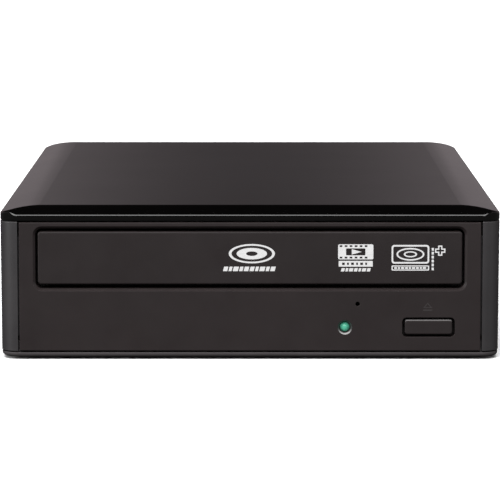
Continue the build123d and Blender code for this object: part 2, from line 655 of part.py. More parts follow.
with BuildPart() as drive_board_screws:
    with BuildSketch(Plane.XY.offset(MAIN_BOARD_Z[0] - BOARD_SCREW_REACH)):
        with Locations(*BOARD_HOLES):
            Circle(SCREW_SHANK_R)
    extrude(amount=MAIN_BOARD_Z[1] - MAIN_BOARD_Z[0] + BOARD_SCREW_REACH)
    with BuildSketch(Plane.XY.offset(MAIN_BOARD_Z[1])):
        with Locations(*BOARD_HOLES):
            Circle(BOARD_HEAD_R)
            RegularPolygon(SMALL_RECESS_R, 6, mode=Mode.SUBTRACT)
    extrude(amount=SMALL_HEAD_T)
export(drive_board_screws, "drive_board_screws")

with BuildPart() as drive_chips:
    with BuildSketch(Plane.XY.offset(MAIN_BOARD_Z[1])):
        with Locations(*DRIVE_CHIPS_AT):
            Rectangle(*CHIP)
        with Locations(DRIVE_CHIPS_AT[1]):
            Rectangle(*MAIN_CHIP)
        with Locations(*SMALL_CHIPS_AT):
            Rectangle(*SMALL_CHIP)
    extrude(amount=CHIP_T)
export(drive_chips, "drive_chips")

with BuildPart() as tact_switch:
    with BuildSketch(panel_plane(SWITCH_BODY_Y[1])):
        with Locations((BUTTON_X, MAIN_BOARD_Z[1] + TACT_SIZE[1] / 2)):
            Rectangle(*TACT_SIZE)
    extrude(amount=SWITCH_BODY_Y[1] - SWITCH_BODY_Y[0])
    with BuildSketch(panel_plane(SWITCH_BODY_Y[0])):
        with Locations((BUTTON_X, BUTTON_Z)):
            Circle(PLUNGER_R)
    extrude(amount=SWITCH_BODY_Y[0] - PLUNGER_Y)
export(tact_switch, "tact_switch")

with BuildPart() as status_led:
    with BuildSketch(panel_plane(LED_BASE_Y[0])):
        with Locations((LED_X, LED_Z)):
            Circle(LED_R)
    extrude(amount=LED_BASE_Y[0] - LED_FRONT_Y)
    fillet(status_led.faces().sort_by(Axis.Y)[0].edges(), radius=LED_DOME_R)
    with BuildSketch(panel_plane(LED_BASE_Y[1])):
        with Locations((LED_X, LED_Z)):
            Circle(LED_R + LED_FLANGE)
    extrude(amount=LED_BASE_Y[1] - LED_BASE_Y[0])
    with BuildSketch(panel_plane(LEG_Y)):
        with Locations((LED_X, LED_Z)):
            with GridLocations(LEG_PITCH, 1, 2, 1):
                Rectangle(LEG_W, LEG_W)
    extrude(amount=LEG_Y - LED_BASE_Y[1])
    with BuildSketch(Plane.XY.offset(MAIN_BOARD_Z[1])):
        with Locations((LED_X, LEG_Y - LEG_W / 2)):
            with GridLocations(LEG_PITCH, 1, 2, 1):
                Rectangle(LEG_W, LEG_W)
    extrude(amount=LED_Z - MAIN_BOARD_Z[1])
export(status_led, "status_led")

with BuildPart() as drive_socket:
    with BuildSketch(Plane.XY.offset(SOCKET_Z[0])):
        with Locations((sum(SOCKET_X) / 2, sum(SOCKET_Y) / 2)):
            Rectangle(SOCKET_X[1] - SOCKET_X[0], SOCKET_Y[1] - SOCKET_Y[0])
    extrude(amount=SOCKET_Z[1] - SOCKET_Z[0])
    with BuildSketch(panel_plane(SOCKET_Y[1])):
        with Locations((sum(SOCKET_X) / 2, sum(SOCKET_Z) / 2)):
            Rectangle(*SOCKET_MOUTH)
    extrude(amount=SOCKET_Y[1] - BLADE_Y[0] + 1.0, mode=Mode.SUBTRACT)
export(drive_socket, "drive_socket")

# ---------------------------------------------------------------- drive: sheet covers, brackets, screws
COVER_SPLIT_Z = DRIVE_Z[1] - SHEET_T
BRACKET_T = 1.2
BRACKET_Y = (-62.0, 42.0)
COVER_POST_R = 2.6
SOCKET_GAP = 0.4
DRIVE_SCREW_REACH = 3.0
DRIVE_HEAD_R = 2.8
DRIVE_HEAD_T = 1.5
DRIVE_RECESS_R = 1.1
BRACKET_TOP_Z = 20.0
BRACKET_FOOT_X = 77.6
SIDE_SCREW_Y = (-40.0, 20.0)
SIDE_SCREW_Z = 14.0
SIDE_SCREW_R = 1.5
PUCK_DOME_R = 24.0
drive_len = DRIVE_Y[1] - DRIVE_Y[0]
drive_mid_y = sum(DRIVE_Y) / 2
pan_top = BASE_Z + BASE_T

with BuildPart() as drive_bottom_cover:
    with BuildSketch(Plane.XY.offset(DRIVE_Z[0])):
        with Locations((0, drive_mid_y)):
            Rectangle(2 * DRIVE_HALF_W, drive_len)
    extrude(amount=COVER_SPLIT_Z - DRIVE_Z[0])
    with BuildSketch(Plane.XY.offset(DRIVE_Z[0] + SHEET_T)):
        with Locations((0, drive_mid_y - SHEET_T)):
            Rectangle(2 * (DRIVE_HALF_W - SHEET_T), drive_len)
    extrude(amount=COVER_SPLIT_Z - DRIVE_Z[0] - SHEET_T, mode=Mode.SUBTRACT)
    with BuildSketch(Plane.XY.offset(DRIVE_Z[0] + SHEET_T)):
        with Locations(*BOARD_HOLES):
            Circle(COVER_POST_R)
    extrude(amount=MAIN_BOARD_Z[0] - DRIVE_Z[0] - SHEET_T)
    with BuildSketch(Plane.XY.offset(DRIVE_Z[0] + SHEET_T)):
        with Locations(*BOARD_HOLES):
            Circle(SCREW_SHANK_R + FIT)
    extrude(amount=MAIN_BOARD_Z[0] - DRIVE_Z[0] - SHEET_T, mode=Mode.SUBTRACT)
    with BuildSketch(Plane.YZ.offset(-DRIVE_HALF_W)):
        with Locations(*[(y, SIDE_SCREW_Z) for y in SIDE_SCREW_Y]):
            Circle(SIDE_SCREW_R + FIT)
    extrude(amount=2 * DRIVE_HALF_W, mode=Mode.SUBTRACT)
    with BuildSketch(panel_plane(DRIVE_Y[1])):
        with Locations((sum(SOCKET_X) / 2, sum(SOCKET_Z) / 2)):
            Rectangle(SOCKET_X[1] - SOCKET_X[0] + 2 * SOCKET_GAP, SOCKET_Z[1] - SOCKET_Z[0] + 2 * SOCKET_GAP)
    extrude(amount=SHEET_T, mode=Mode.SUBTRACT)
export(drive_bottom_cover, "drive_bottom_cover")

with BuildPart() as drive_top_cover:
    with BuildSketch(Plane.XY.offset(COVER_SPLIT_Z)):
        with Locations((0, drive_mid_y)):
            Rectangle(2 * DRIVE_HALF_W, drive_len)
    extrude(amount=SHEET_T)
    with BuildSketch(Plane.XY.offset(COVER_SPLIT_Z)):
        with Locations((0, DISC_Y)):
            Circle(PUCK_DOME_R)
    extrude(amount=2 * SHEET_T)
    with BuildSketch(Plane.XY.offset(COVER_SPLIT_Z)):
        with Locations((0, DISC_Y)):
            Circle(PUCK_DOME_R - SHEET_T)
    extrude(amount=SHEET_T, mode=Mode.SUBTRACT)
export(drive_top_cover, "drive_top_cover")

for side, label in ((1, "right_bracket"), (-1, "left_bracket")):
    web, web_w = x_span(side, DRIVE_HALF_W, DRIVE_HALF_W + BRACKET_T)
    foot, foot_w = x_span(side, DRIVE_HALF_W, BRACKET_FOOT_X)
    bracket_mid_y = sum(BRACKET_Y) / 2
    bracket_len = BRACKET_Y[1] - BRACKET_Y[0]
    with BuildPart() as bracket:
        with BuildSketch(Plane.XY.offset(pan_top)):
            with Locations((web, bracket_mid_y)):
                Rectangle(web_w, bracket_len)
        extrude(amount=BRACKET_TOP_Z - pan_top)
        with BuildSketch(Plane.XY.offset(pan_top)):
            with Locations((foot, bracket_mid_y)):
                Rectangle(foot_w, bracket_len)
        extrude(amount=BRACKET_T)
        with BuildSketch(Plane.YZ.offset(side * DRIVE_HALF_W)):
            with Locations(*[(y, SIDE_SCREW_Z) for y in SIDE_SCREW_Y]):
                Circle(SIDE_SCREW_R + FIT)
        extrude(amount=side * BRACKET_T, mode=Mode.SUBTRACT)
    export(bracket, label)

with BuildPart() as drive_screws:
    for side in (-1, 1):
        with BuildSketch(Plane.YZ.offset(side * (DRIVE_HALF_W - DRIVE_SCREW_REACH))):
            with Locations(*[(y, SIDE_SCREW_Z) for y in SIDE_SCREW_Y]):
                Circle(SIDE_SCREW_R)
        extrude(amount=side * (BRACKET_T + DRIVE_SCREW_REACH))
        with BuildSketch(Plane.YZ.offset(side * (DRIVE_HALF_W + BRACKET_T))):
            with Locations(*[(y, SIDE_SCREW_Z) for y in SIDE_SCREW_Y]):
                Circle(DRIVE_HEAD_R)
                RegularPolygon(DRIVE_RECESS_R, 6, mode=Mode.SUBTRACT)
        extrude(amount=side * DRIVE_HEAD_T)
export(drive_screws, "drive_screws")

# ---------------------------------------------------------------- drive: loader chassis
WEB_X = (70.6, 72.1)
WEB_TOP_Z = 42.0
SHELF_X = (58.0, 70.8)
SHELF_Z = (27.2, 28.8)
GUIDE_X = (64.5, 66.0)
GUIDE_TOP_Z = 40.9
LIP_OVER_X = 61.0
LIP_OVER_Z = 39.4
CHASSIS_Y = (-111.5, 46.5)
BEAM_T = 2.2
BEAM_TOP_Z = 24.0
DECK_Z = (14.4, 16.0)
DECK_Y = (-109.4, -85.0)
MOTOR_AT = (12.0, -96.0)
MOTOR_R = 10.0
GEAR_MODULE = 0.7
TRAY_GEAR_TEETH = 32
BELT_GEAR_TEETH = 14
GEAR_SPACING = (TRAY_GEAR_TEETH + BELT_GEAR_TEETH) * GEAR_MODULE / 2
BELT_GEAR_AT = (PINION_AT[0] + GEAR_SPACING, PINION_AT[1])
POST_PIN_R = 1.8
TRAVERSE_HINGE = (27.0, 24.0)  # y and z of the traverse's rear hinge line
HINGE_PIN_R = 2.0
HINGE_BLOCK_X = (53.0, 62.0)
CHANNEL_Y = (-84.2, -78.8)
CHANNEL_Z = (9.9, 10.9)
CHANNEL_LIP_TOP_Z = 12.6
SLIDER_Y = (-82.6, -80.4)
PIN_HOLE_IN_BEAM_R = 1.2
BEAM_SET_BACK = 0.3
HINGE_BLOCK = (8.0, 7.2)  # length, height
HINGE_BORE_PAST = 5.0
ARM_ROOM = (2.0, 11.6)  # side room, height
DECK_END_X = 24.0
DECK_HOLE_R = 6.0
GEAR_POST_H = 10.0
SLIDER_GAP = 0.25
beam_y = CHASSIS_Y[0] + BEAM_SET_BACK
web_h = WEB_TOP_Z - DRIVE_Z[0] - SHEET_T
chassis_len = CHASSIS_Y[1] - CHASSIS_Y[0]
chassis_mid_y = sum(CHASSIS_Y) / 2

with BuildPart() as loader_chassis:
    for side in (-1, 1):
        web, web_w = x_span(side, *WEB_X)
        shelf, shelf_w = x_span(side, *SHELF_X)
        guide, guide_w = x_span(side, *GUIDE_X)
        lip, lip_w = x_span(side, LIP_OVER_X, GUIDE_X[1])
        block, block_w = x_span(side, *HINGE_BLOCK_X)
        with BuildSketch(Plane.XY.offset(DRIVE_Z[0] + SHEET_T)):
            with Locations((web, chassis_mid_y)):
                Rectangle(web_w, chassis_len)
        extrude(amount=web_h)
        with BuildSketch(Plane.XY.offset(SHELF_Z[0])):
            with Locations((shelf, chassis_mid_y)):
                Rectangle(shelf_w, chassis_len)
        extrude(amount=SHELF_Z[1] - SHELF_Z[0])
        with BuildSketch(Plane.XY.offset(SHELF_Z[1])):
            with Locations((guide, chassis_mid_y)):
                Rectangle(guide_w, chassis_len)
        extrude(amount=GUIDE_TOP_Z - SHELF_Z[1])
        with BuildSketch(Plane.XY.offset(LIP_OVER_Z)):
            with Locations((lip, chassis_mid_y)):
                Rectangle(lip_w, chassis_len)
        extrude(amount=GUIDE_TOP_Z - LIP_OVER_Z)
        with BuildSketch(Plane.XY.offset(SHELF_Z[0])):
            with Locations((block, TRAVERSE_HINGE[0])):
                Rectangle(block_w, HINGE_BLOCK[0])
        extrude(amount=-HINGE_BLOCK[1])
    # front and rear beams
    with BuildSketch(Plane.XY.offset(DRIVE_Z[0] + SHEET_T)):
        with Locations((0, beam_y + BEAM_T / 2)):
            Rectangle(2 * (WEB_X[0] + 2 * OVERLAP), BEAM_T)
    extrude(amount=BEAM_TOP_Z - DRIVE_Z[0] - SHEET_T)
    with BuildSketch(Plane.XY.offset(DECK_Z[1])):
        with Locations((0, CHASSIS_Y[1] - BEAM_T / 2)):
            Rectangle(2 * (WEB_X[0] + 2 * OVERLAP), BEAM_T)
    extrude(amount=SHELF_Z[1] - DECK_Z[1])
    # room for the lamp's legs, the button and the board's front arm
    with BuildSketch(panel_plane(beam_y + BEAM_T)):
        with Locations(((BOARD_ARM_X[0] + BOARD_ARM_X[1]) / 2, DRIVE_Z[0] + SHEET_T + ARM_ROOM[1] / 2)):
            Rectangle(BOARD_ARM_X[1] - BOARD_ARM_X[0] + 2 * ARM_ROOM[0], ARM_ROOM[1])
    extrude(amount=BEAM_T, mode=Mode.SUBTRACT)
    with BuildSketch(panel_plane(beam_y + BEAM_T + 1.0)):
        with Locations((PIN_X, PIN_Z)):
            Circle(PIN_HOLE_IN_BEAM_R)
    extrude(amount=BEAM_T + 2.0, mode=Mode.SUBTRACT)
    # deck for the loading gears
    with BuildSketch(Plane.XY.offset(DECK_Z[0])):
        with Locations(((DECK_END_X - WEB_X[0]) / 2, sum(DECK_Y) / 2)):
            Rectangle(DECK_END_X + WEB_X[0] + 2 * OVERLAP, DECK_Y[1] - DECK_Y[0])
        with Locations(MOTOR_AT):
            Circle(DECK_HOLE_R, mode=Mode.SUBTRACT)
    extrude(amount=DECK_Z[1] - DECK_Z[0])
    with BuildSketch(Plane.XY.offset(DECK_Z[1])):
        with Locations(PINION_AT, BELT_GEAR_AT):
            Circle(POST_PIN_R)
    extrude(amount=GEAR_POST_H)
    # channel for the cam slider
    with BuildSketch(Plane.XY.offset(CHANNEL_Z[0])):
        with Locations((0, sum(CHANNEL_Y) / 2)):
            Rectangle(2 * (WEB_X[0] + OVERLAP), CHANNEL_Y[1] - CHANNEL_Y[0])
    extrude(amount=CHANNEL_LIP_TOP_Z - CHANNEL_Z[0])
    with BuildSketch(Plane.XY.offset(CHANNEL_Z[1])):
        with Locations((0, sum(SLIDER_Y) / 2)):
            Rectangle(2 * WEB_X[0] + 2.0, SLIDER_Y[1] - SLIDER_Y[0] + 2 * SLIDER_GAP)
    extrude(amount=CHANNEL_LIP_TOP_Z - CHANNEL_Z[1], mode=Mode.SUBTRACT)
    # bores for the traverse's hinge pins and the side screws
    with BuildSketch(Plane.YZ.offset(-HINGE_BLOCK_X[0] - HINGE_BORE_PAST)):
        with Locations(TRAVERSE_HINGE):
            Circle(HINGE_PIN_R + FIT)
    extrude(amount=2 * (HINGE_BLOCK_X[0] + HINGE_BORE_PAST), mode=Mode.SUBTRACT)
    with BuildSketch(Plane.YZ.offset(-DRIVE_HALF_W)):
        with Locations(*[(y, SIDE_SCREW_Z) for y in SIDE_SCREW_Y]):
            Circle(SIDE_SCREW_R + FIT)
    extrude(amount=2 * DRIVE_HALF_W, mode=Mode.SUBTRACT)
export(loader_chassis, "loader_chassis")

# ---------------------------------------------------------------- drive: loading motor, belt and gears
PULLEY_Z = (17.0, 20.0)
PULLEY_MID_Z = sum(PULLEY_Z) / 2
SMALL_PULLEY_R = 4.0
SMALL_GROOVE_R = 3.2
LARGE_PULLEY_R = 11.6
LARGE_GROOVE_R = 10.8
BELT_R = 0.6
SHAFT_R = 1.0
GEAR_Z = (23.6, 25.8)
PINION_Z = (29.2, 31.0)
MOTOR_BOSS_R = 3.0
MOTOR_BOSS_H = 1.4
SHAFT_TIP = 0.4
PULLEY_RIM_T = 0.4
GROOVE_HALF = 0.4
GEAR_HUB_R = 3.2
PINION_HUB_R = 5.0
GEAR_EXTRA_T = 0.4
GEAR_LIFT = 0.3
GEAR_BACKLASH = BACKLASH * 0.8

with BuildPart() as loading_motor:
    with BuildSketch(Plane.XY.offset(DRIVE_Z[0] + SHEET_T)):
        with Locations(MOTOR_AT):
            Circle(MOTOR_R)
    extrude(amount=DECK_Z[0] - DRIVE_Z[0] - SHEET_T)
    with BuildSketch(Plane.XY.offset(DECK_Z[0])):
        with Locations(MOTOR_AT):
            Circle(MOTOR_BOSS_R)
    extrude(amount=MOTOR_BOSS_H)
    with BuildSketch(Plane.XY.offset(DECK_Z[0])):
        with Locations(MOTOR_AT):
            Circle(SHAFT_R)
    extrude(amount=PULLEY_Z[1] - DECK_Z[0] + SHAFT_TIP)
export(loading_motor, "loading_motor")


def pulley_section(bore_r, groove_r, rim_r):
    """Half cross-section of a pulley with a round-bottomed groove, as points of radius and height."""
    low, high = PULLEY_Z
    return (
        (bore_r, low),
        (rim_r, low),
        (rim_r, low + PULLEY_RIM_T),
        (groove_r, PULLEY_MID_Z - GROOVE_HALF),
        (groove_r, PULLEY_MID_Z + GROOVE_HALF),
        (rim_r, high - PULLEY_RIM_T),
        (rim_r, high),
        (bore_r, high),
    )


with BuildPart() as motor_pulley:
    with BuildSketch(Plane.XZ.offset(-MOTOR_AT[1])):
        with BuildLine():
            Polyline(
                *[
                    (MOTOR_AT[0] + r, z)
                    for r, z in pulley_section(SHAFT_R + FIT, SMALL_GROOVE_R, SMALL_PULLEY_R)
                ],
                close=True,
            )
        make_face()
    revolve(axis=Axis((*MOTOR_AT, 0), (0, 0, 1)))
export(motor_pulley, "motor_pulley")

with BuildPart() as belt_gear:
    with BuildSketch(Plane.XZ.offset(-BELT_GEAR_AT[1])):
        with BuildLine():
            Polyline(
                *[
                    (BELT_GEAR_AT[0] + r, z)
                    for r, z in pulley_section(POST_PIN_R + FIT, LARGE_GROOVE_R, LARGE_PULLEY_R)
                ],
                close=True,
            )
        make_face()
    revolve(axis=Axis((*BELT_GEAR_AT, 0), (0, 0, 1)))
    with BuildSketch(Plane.XY.offset(PULLEY_Z[1])):
        with Locations(BELT_GEAR_AT):
            Circle(GEAR_HUB_R)
            Circle(POST_PIN_R + FIT, mode=Mode.SUBTRACT)
    extrude(amount=GEAR_Z[0] - PULLEY_Z[1])
    with BuildSketch(Plane.XY.offset(GEAR_Z[0])):
        with Locations(Location((*BELT_GEAR_AT, 0), (0, 0, 180.0 / BELT_GEAR_TEETH))):
            Polygon(*gear_outline(BELT_GEAR_TEETH, GEAR_MODULE, GEAR_BACKLASH), align=None)
            Circle(POST_PIN_R + FIT, mode=Mode.SUBTRACT)
    extrude(amount=GEAR_Z[1] - GEAR_Z[0] + GEAR_EXTRA_T)
export(belt_gear, "belt_gear")

with BuildPart() as tray_gear:
    with BuildSketch(Plane.XY.offset(DECK_Z[1] + GEAR_LIFT)):
        with Locations(PINION_AT):
            Circle(GEAR_HUB_R)
            Circle(POST_PIN_R + FIT, mode=Mode.SUBTRACT)
    extrude(amount=GEAR_Z[0] - DECK_Z[1] - GEAR_LIFT)
    with BuildSketch(Plane.XY.offset(GEAR_Z[0])):
        with Locations(PINION_AT):
            Polygon(*gear_outline(TRAY_GEAR_TEETH, GEAR_MODULE, GEAR_BACKLASH), align=None)
            Circle(POST_PIN_R + FIT, mode=Mode.SUBTRACT)
    extrude(amount=GEAR_Z[1] - GEAR_Z[0])
    with BuildSketch(Plane.XY.offset(GEAR_Z[1])):
        with Locations(PINION_AT):
            Circle(PINION_HUB_R)
            Circle(POST_PIN_R + FIT, mode=Mode.SUBTRACT)
    extrude(amount=PINION_Z[0] - GEAR_Z[1])
    with BuildSketch(Plane.XY.offset(PINION_Z[0])):
        with Locations(PINION_AT):
            Polygon(*gear_outline(PINION_TEETH, RACK_MODULE, BACKLASH), align=None)
    extrude(amount=PINION_Z[1] - PINION_Z[0])
export(tray_gear, "tray_gear")

belt_run = MOTOR_AT[0] - BELT_GEAR_AT[0]
belt_large = LARGE_GROOVE_R + BELT_R + FIT
belt_small = SMALL_GROOVE_R + BELT_R + FIT
belt_lean = degrees(atan2(belt_large - belt_small, belt_run))
lean_cos = cos(radians(belt_lean))
lean_sin = sin(radians(belt_lean))

with BuildPart() as drive_belt:
    with BuildLine(Plane.XY.offset(PULLEY_MID_Z)):
        large_top = (BELT_GEAR_AT[0] + belt_large * lean_sin, BELT_GEAR_AT[1] + belt_large * lean_cos)
        large_low = (BELT_GEAR_AT[0] + belt_large * lean_sin, BELT_GEAR_AT[1] - belt_large * lean_cos)
        small_top = (MOTOR_AT[0] + belt_small * lean_sin, MOTOR_AT[1] + belt_small * lean_cos)
        small_low = (MOTOR_AT[0] + belt_small * lean_sin, MOTOR_AT[1] - belt_small * lean_cos)
        top_run = Line(large_top, small_top)
        ThreePointArc(small_top, (MOTOR_AT[0] + belt_small, MOTOR_AT[1]), small_low)
        Line(small_low, large_low)
        ThreePointArc(large_low, (BELT_GEAR_AT[0] - belt_large, BELT_GEAR_AT[1]), large_top)
    with BuildSketch(Plane(origin=top_run @ 0, z_dir=top_run % 0)):
        Circle(BELT_R)
    sweep()
export(drive_belt, "drive_belt")

# ---------------------------------------------------------------- drive: cam slider
CAM_PIN_R = 1.2
CAM_PIN_X = 24.0
CAM_PIN_Z = 24.5
TRAVERSE_DROP_DEG = 4.4
CAM_TRAVEL = 20.0
CAM_SLOT_HALF = CAM_PIN_R + 0.35
SLIDER_X = (-50.0, 37.0)
SLIDER_Z = (11.1, 28.0)
CAM_PIN_TIP_Y = -83.2
TRAVERSE_Y = (-79.0, 31.0)
pin_arm = TRAVERSE_HINGE[0] - sum(SLIDER_Y) / 2
cam_drop = pin_arm * sin(radians(TRAVERSE_DROP_DEG))

with BuildPart() as cam_slider:
    with BuildSketch(panel_plane(SLIDER_Y[1])):
        with Locations((sum(SLIDER_X) / 2, sum(SLIDER_Z) / 2)):
            Rectangle(SLIDER_X[1] - SLIDER_X[0], SLIDER_Z[1] - SLIDER_Z[0])
    extrude(amount=SLIDER_Y[1] - SLIDER_Y[0])
    with BuildSketch(panel_plane(SLIDER_Y[1])):
        for start in (-CAM_PIN_X, CAM_PIN_X):
            with Locations((start - CAM_TRAVEL / 2, CAM_PIN_Z - cam_drop / 2)):
                SlotCenterToCenter(
                    (CAM_TRAVEL**2 + cam_drop**2) ** 0.5,
                    2 * CAM_SLOT_HALF,
                    rotation=degrees(atan2(cam_drop, CAM_TRAVEL)),
                )
    extrude(amount=SLIDER_Y[1] - SLIDER_Y[0], mode=Mode.SUBTRACT)
export(cam_slider, "cam_slider")

# ---------------------------------------------------------------- drive: traverse and pickup
FRAME_HALF_W = 50.0
FRAME_Z = (22.0, 26.0)
FRAME_WINDOW_HALF_W = 41.0
FRAME_WINDOW_Y = (-72.0, 24.6)
PLATE_Z = (26.6, 27.8)
PLATE_HALF_W = 48.0
PLATE_Y = (-71.0, 26.0)
PLATE_WINDOW_HALF_W = 25.6
PLATE_WINDOW_Y = (-36.8, 20.6)
GROMMET_AT = ((-45.5, -63.0), (45.5, -63.0), (-45.5, 12.0), (45.5, 12.0))
GROMMET_R = 3.4
GROMMET_CORE_R = 2.3
GROMMET_TOP_Z = 28.5
SPINDLE_COLLAR_R = 8.9
SPINDLE_MOTOR_R = 12.5
SPINDLE_SHAFT_R = 1.2
TABLE_TOP_Z = 35.2
HUB_TOP_Z = 36.9
ROD_X = 30.0
ROD_Z = 24.2
ROD_R = 1.5
ROD_Y = (-40.8, 24.0)
CLIP_FRONT_Y = (-40.8, -38.8)
CLIP_REAR_Y = (22.0, 24.0)
LEAD_X = 36.3
LEAD_Z = 21.4
LEAD_R = 1.4
LEAD_Y = (-44.0, 23.8)
SLED_MOTOR_R = 4.7
SLED_Y = (-36.0, -14.4)
SLED_Z = (20.5, 26.2)
SLED_HALF_W = 24.0
ARM_W = 9.8
TOWER_Y = (-33.0, -19.0)
LENS_Y = -26.0
LENS_R = 3.1
LENS_SEAT = 1.6
LENS_H = 3.0
LENS_DOME_R = 1.3
CLIP_UNDER = 0.9
CLIP_W = 5.0
DAMPER_HEAD_R = 2.5
DAMPER_HEAD_T = 0.9
SPINDLE_MOTOR_Z = 19.0
SPINDLE_CHAMFER = 0.8
HUB_CAP_T = 0.9
HUB_R = 7.4
HUB_TIP_R = 6.2
HUB_TAPER_H = 0.8
TABLE_R = 15.0
TABLE_FOOT_R = 11.0
TABLE_T = 1.8
TABLE_GAP = 0.4
SLED_MOTOR_Y = -44.6
SLED_MOTOR_L = 15.0
SLED_MOTOR_FOOT_Y = -52.0
SLED_MOTOR_FOOT = (5.0, 8.0)
GRIP_L = 0.8
GRIP_W = 0.5
GRIP_OFF = 0.2
SLED_CORNER_R = 2.0
ARM_UP = 1.2
ARM_IN = 1.2
SHORT_ARM_L = 8.0
NUT_PAST = 2.6
NUT_L = 6.0
NUT_WALL_T = 1.0
TOWER_W = 18.0
TOWER_R = 2.5
TOWER_H = 5.2

with BuildPart() as traverse_frame:
    with BuildSketch(Plane.XY.offset(FRAME_Z[0])):
        with Locations((0, sum(TRAVERSE_Y) / 2)):
            RectangleRounded(2 * FRAME_HALF_W, TRAVERSE_Y[1] - TRAVERSE_Y[0], 4.0)
        with Locations((0, sum(FRAME_WINDOW_Y) / 2)):
            Rectangle(2 * FRAME_WINDOW_HALF_W, FRAME_WINDOW_Y[1] - FRAME_WINDOW_Y[0], mode=Mode.SUBTRACT)
        with Locations(*GROMMET_AT):
            Circle(SCREW_SHANK_R + FIT, mode=Mode.SUBTRACT)
    extrude(amount=FRAME_Z[1] - FRAME_Z[0])
    with BuildSketch(Plane.YZ.offset(-HINGE_BLOCK_X[0] - 4.0)):
        with Locations(TRAVERSE_HINGE):
            Circle(HINGE_PIN_R)
    extrude(amount=HINGE_BLOCK_X[0] + 4.0 - FRAME_WINDOW_HALF_W)
    with BuildSketch(Plane.YZ.offset(HINGE_BLOCK_X[0] + 4.0)):
        with Locations(TRAVERSE_HINGE):
            Circle(HINGE_PIN_R)
    extrude(amount=FRAME_WINDOW_HALF_W - HINGE_BLOCK_X[0] - 4.0)
    with BuildSketch(panel_plane(TRAVERSE_Y[0] + 1.0)):
        with Locations((-CAM_PIN_X, CAM_PIN_Z), (CAM_PIN_X, CAM_PIN_Z)):
            Circle(CAM_PIN_R)
    extrude(amount=TRAVERSE_Y[0] + 1.0 - CAM_PIN_TIP_Y)
export(traverse_frame, "traverse_frame")

with BuildPart() as pickup_chassis:
    with BuildSketch(Plane.XY.offset(PLATE_Z[0])):
        with Locations((0, sum(PLATE_Y) / 2)):
            RectangleRounded(2 * PLATE_HALF_W, PLATE_Y[1] - PLATE_Y[0], 3.0)
        with Locations((0, sum(PLATE_WINDOW_Y) / 2)):
            Rectangle(2 * PLATE_WINDOW_HALF_W, PLATE_WINDOW_Y[1] - PLATE_WINDOW_Y[0], mode=Mode.SUBTRACT)
        with Locations((0, DISC_Y)):
            Circle(SPINDLE_COLLAR_R + FIT, mode=Mode.SUBTRACT)
        with Locations(*GROMMET_AT):
            Circle(GROMMET_CORE_R + FIT, mode=Mode.SUBTRACT)
    extrude(amount=PLATE_Z[1] - PLATE_Z[0])
    # clips that hang below the plate and hold the rods and the lead screw
    clip_low_z = LEAD_Z - LEAD_R - CLIP_UNDER
    for clip_y in (CLIP_FRONT_Y, CLIP_REAR_Y):
        with BuildSketch(Plane.XY.offset(PLATE_Z[0])):
            with Locations((-ROD_X, sum(clip_y) / 2), (ROD_X, sum(clip_y) / 2)):
                Rectangle(CLIP_W, clip_y[1] - clip_y[0])
            with Locations((LEAD_X, sum(CLIP_REAR_Y) / 2)):
                Rectangle(CLIP_W, CLIP_REAR_Y[1] - CLIP_REAR_Y[0])
        extrude(amount=clip_low_z - PLATE_Z[0])
    with BuildSketch(panel_plane(CLIP_REAR_Y[1])):
        with Locations((-ROD_X, ROD_Z), (ROD_X, ROD_Z)):
            Circle(ROD_R + FIT)
    extrude(amount=CLIP_REAR_Y[1] - CLIP_FRONT_Y[0], mode=Mode.SUBTRACT)
    with BuildSketch(panel_plane(CLIP_REAR_Y[1])):
        with Locations((LEAD_X, LEAD_Z)):
            Circle(LEAD_R + FIT)
    extrude(amount=CLIP_REAR_Y[1] - CLIP_REAR_Y[0], mode=Mode.SUBTRACT)
export(pickup_chassis, "pickup_chassis")

with BuildPart() as damper_grommets:
    for low, high, radius in (
        (FRAME_Z[1], PLATE_Z[0], GROMMET_R),
        (PLATE_Z[0], PLATE_Z[1], GROMMET_CORE_R),
        (PLATE_Z[1], GROMMET_TOP_Z, GROMMET_R),
    ):
        with BuildSketch(Plane.XY.offset(low)):
            with Locations(*GROMMET_AT):
                Circle(radius)
                Circle(SCREW_SHANK_R + FIT, mode=Mode.SUBTRACT)
        extrude(amount=high - low)
export(damper_grommets, "damper_grommets")

with BuildPart() as damper_screws:
    with BuildSketch(Plane.XY.offset(FRAME_Z[0] + 0.5)):
        with Locations(*GROMMET_AT):
            Circle(SCREW_SHANK_R)
    extrude(amount=GROMMET_TOP_Z - FRAME_Z[0] - 0.5)
    with BuildSketch(Plane.XY.offset(GROMMET_TOP_Z)):
        with Locations(*GROMMET_AT):
            Circle(DAMPER_HEAD_R)
            RegularPolygon(SMALL_RECESS_R, 6, mode=Mode.SUBTRACT)
    extrude(amount=DAMPER_HEAD_T)
export(damper_screws, "damper_screws")

with BuildPart() as spindle_motor:
    with BuildSketch(Plane.XY.offset(SPINDLE_MOTOR_Z)):
        with Locations((0, DISC_Y)):
            Circle(SPINDLE_MOTOR_R)
    extrude(amount=PLATE_Z[0] - SPINDLE_MOTOR_Z)
    with BuildSketch(Plane.XY.offset(PLATE_Z[0])):
        with Locations((0, DISC_Y)):
            Circle(SPINDLE_COLLAR_R)
    extrude(amount=PLATE_Z[1] - PLATE_Z[0])
    with BuildSketch(Plane.XY.offset(PLATE_Z[1])):
        with Locations((0, DISC_Y)):
            Circle(SPINDLE_SHAFT_R)
    extrude(amount=HUB_TOP_Z - 1.0 - PLATE_Z[1])
    chamfer(spindle_motor.faces().sort_by(Axis.Z)[0].edges(), length=SPINDLE_CHAMFER)
export(spindle_motor, "spindle_motor")

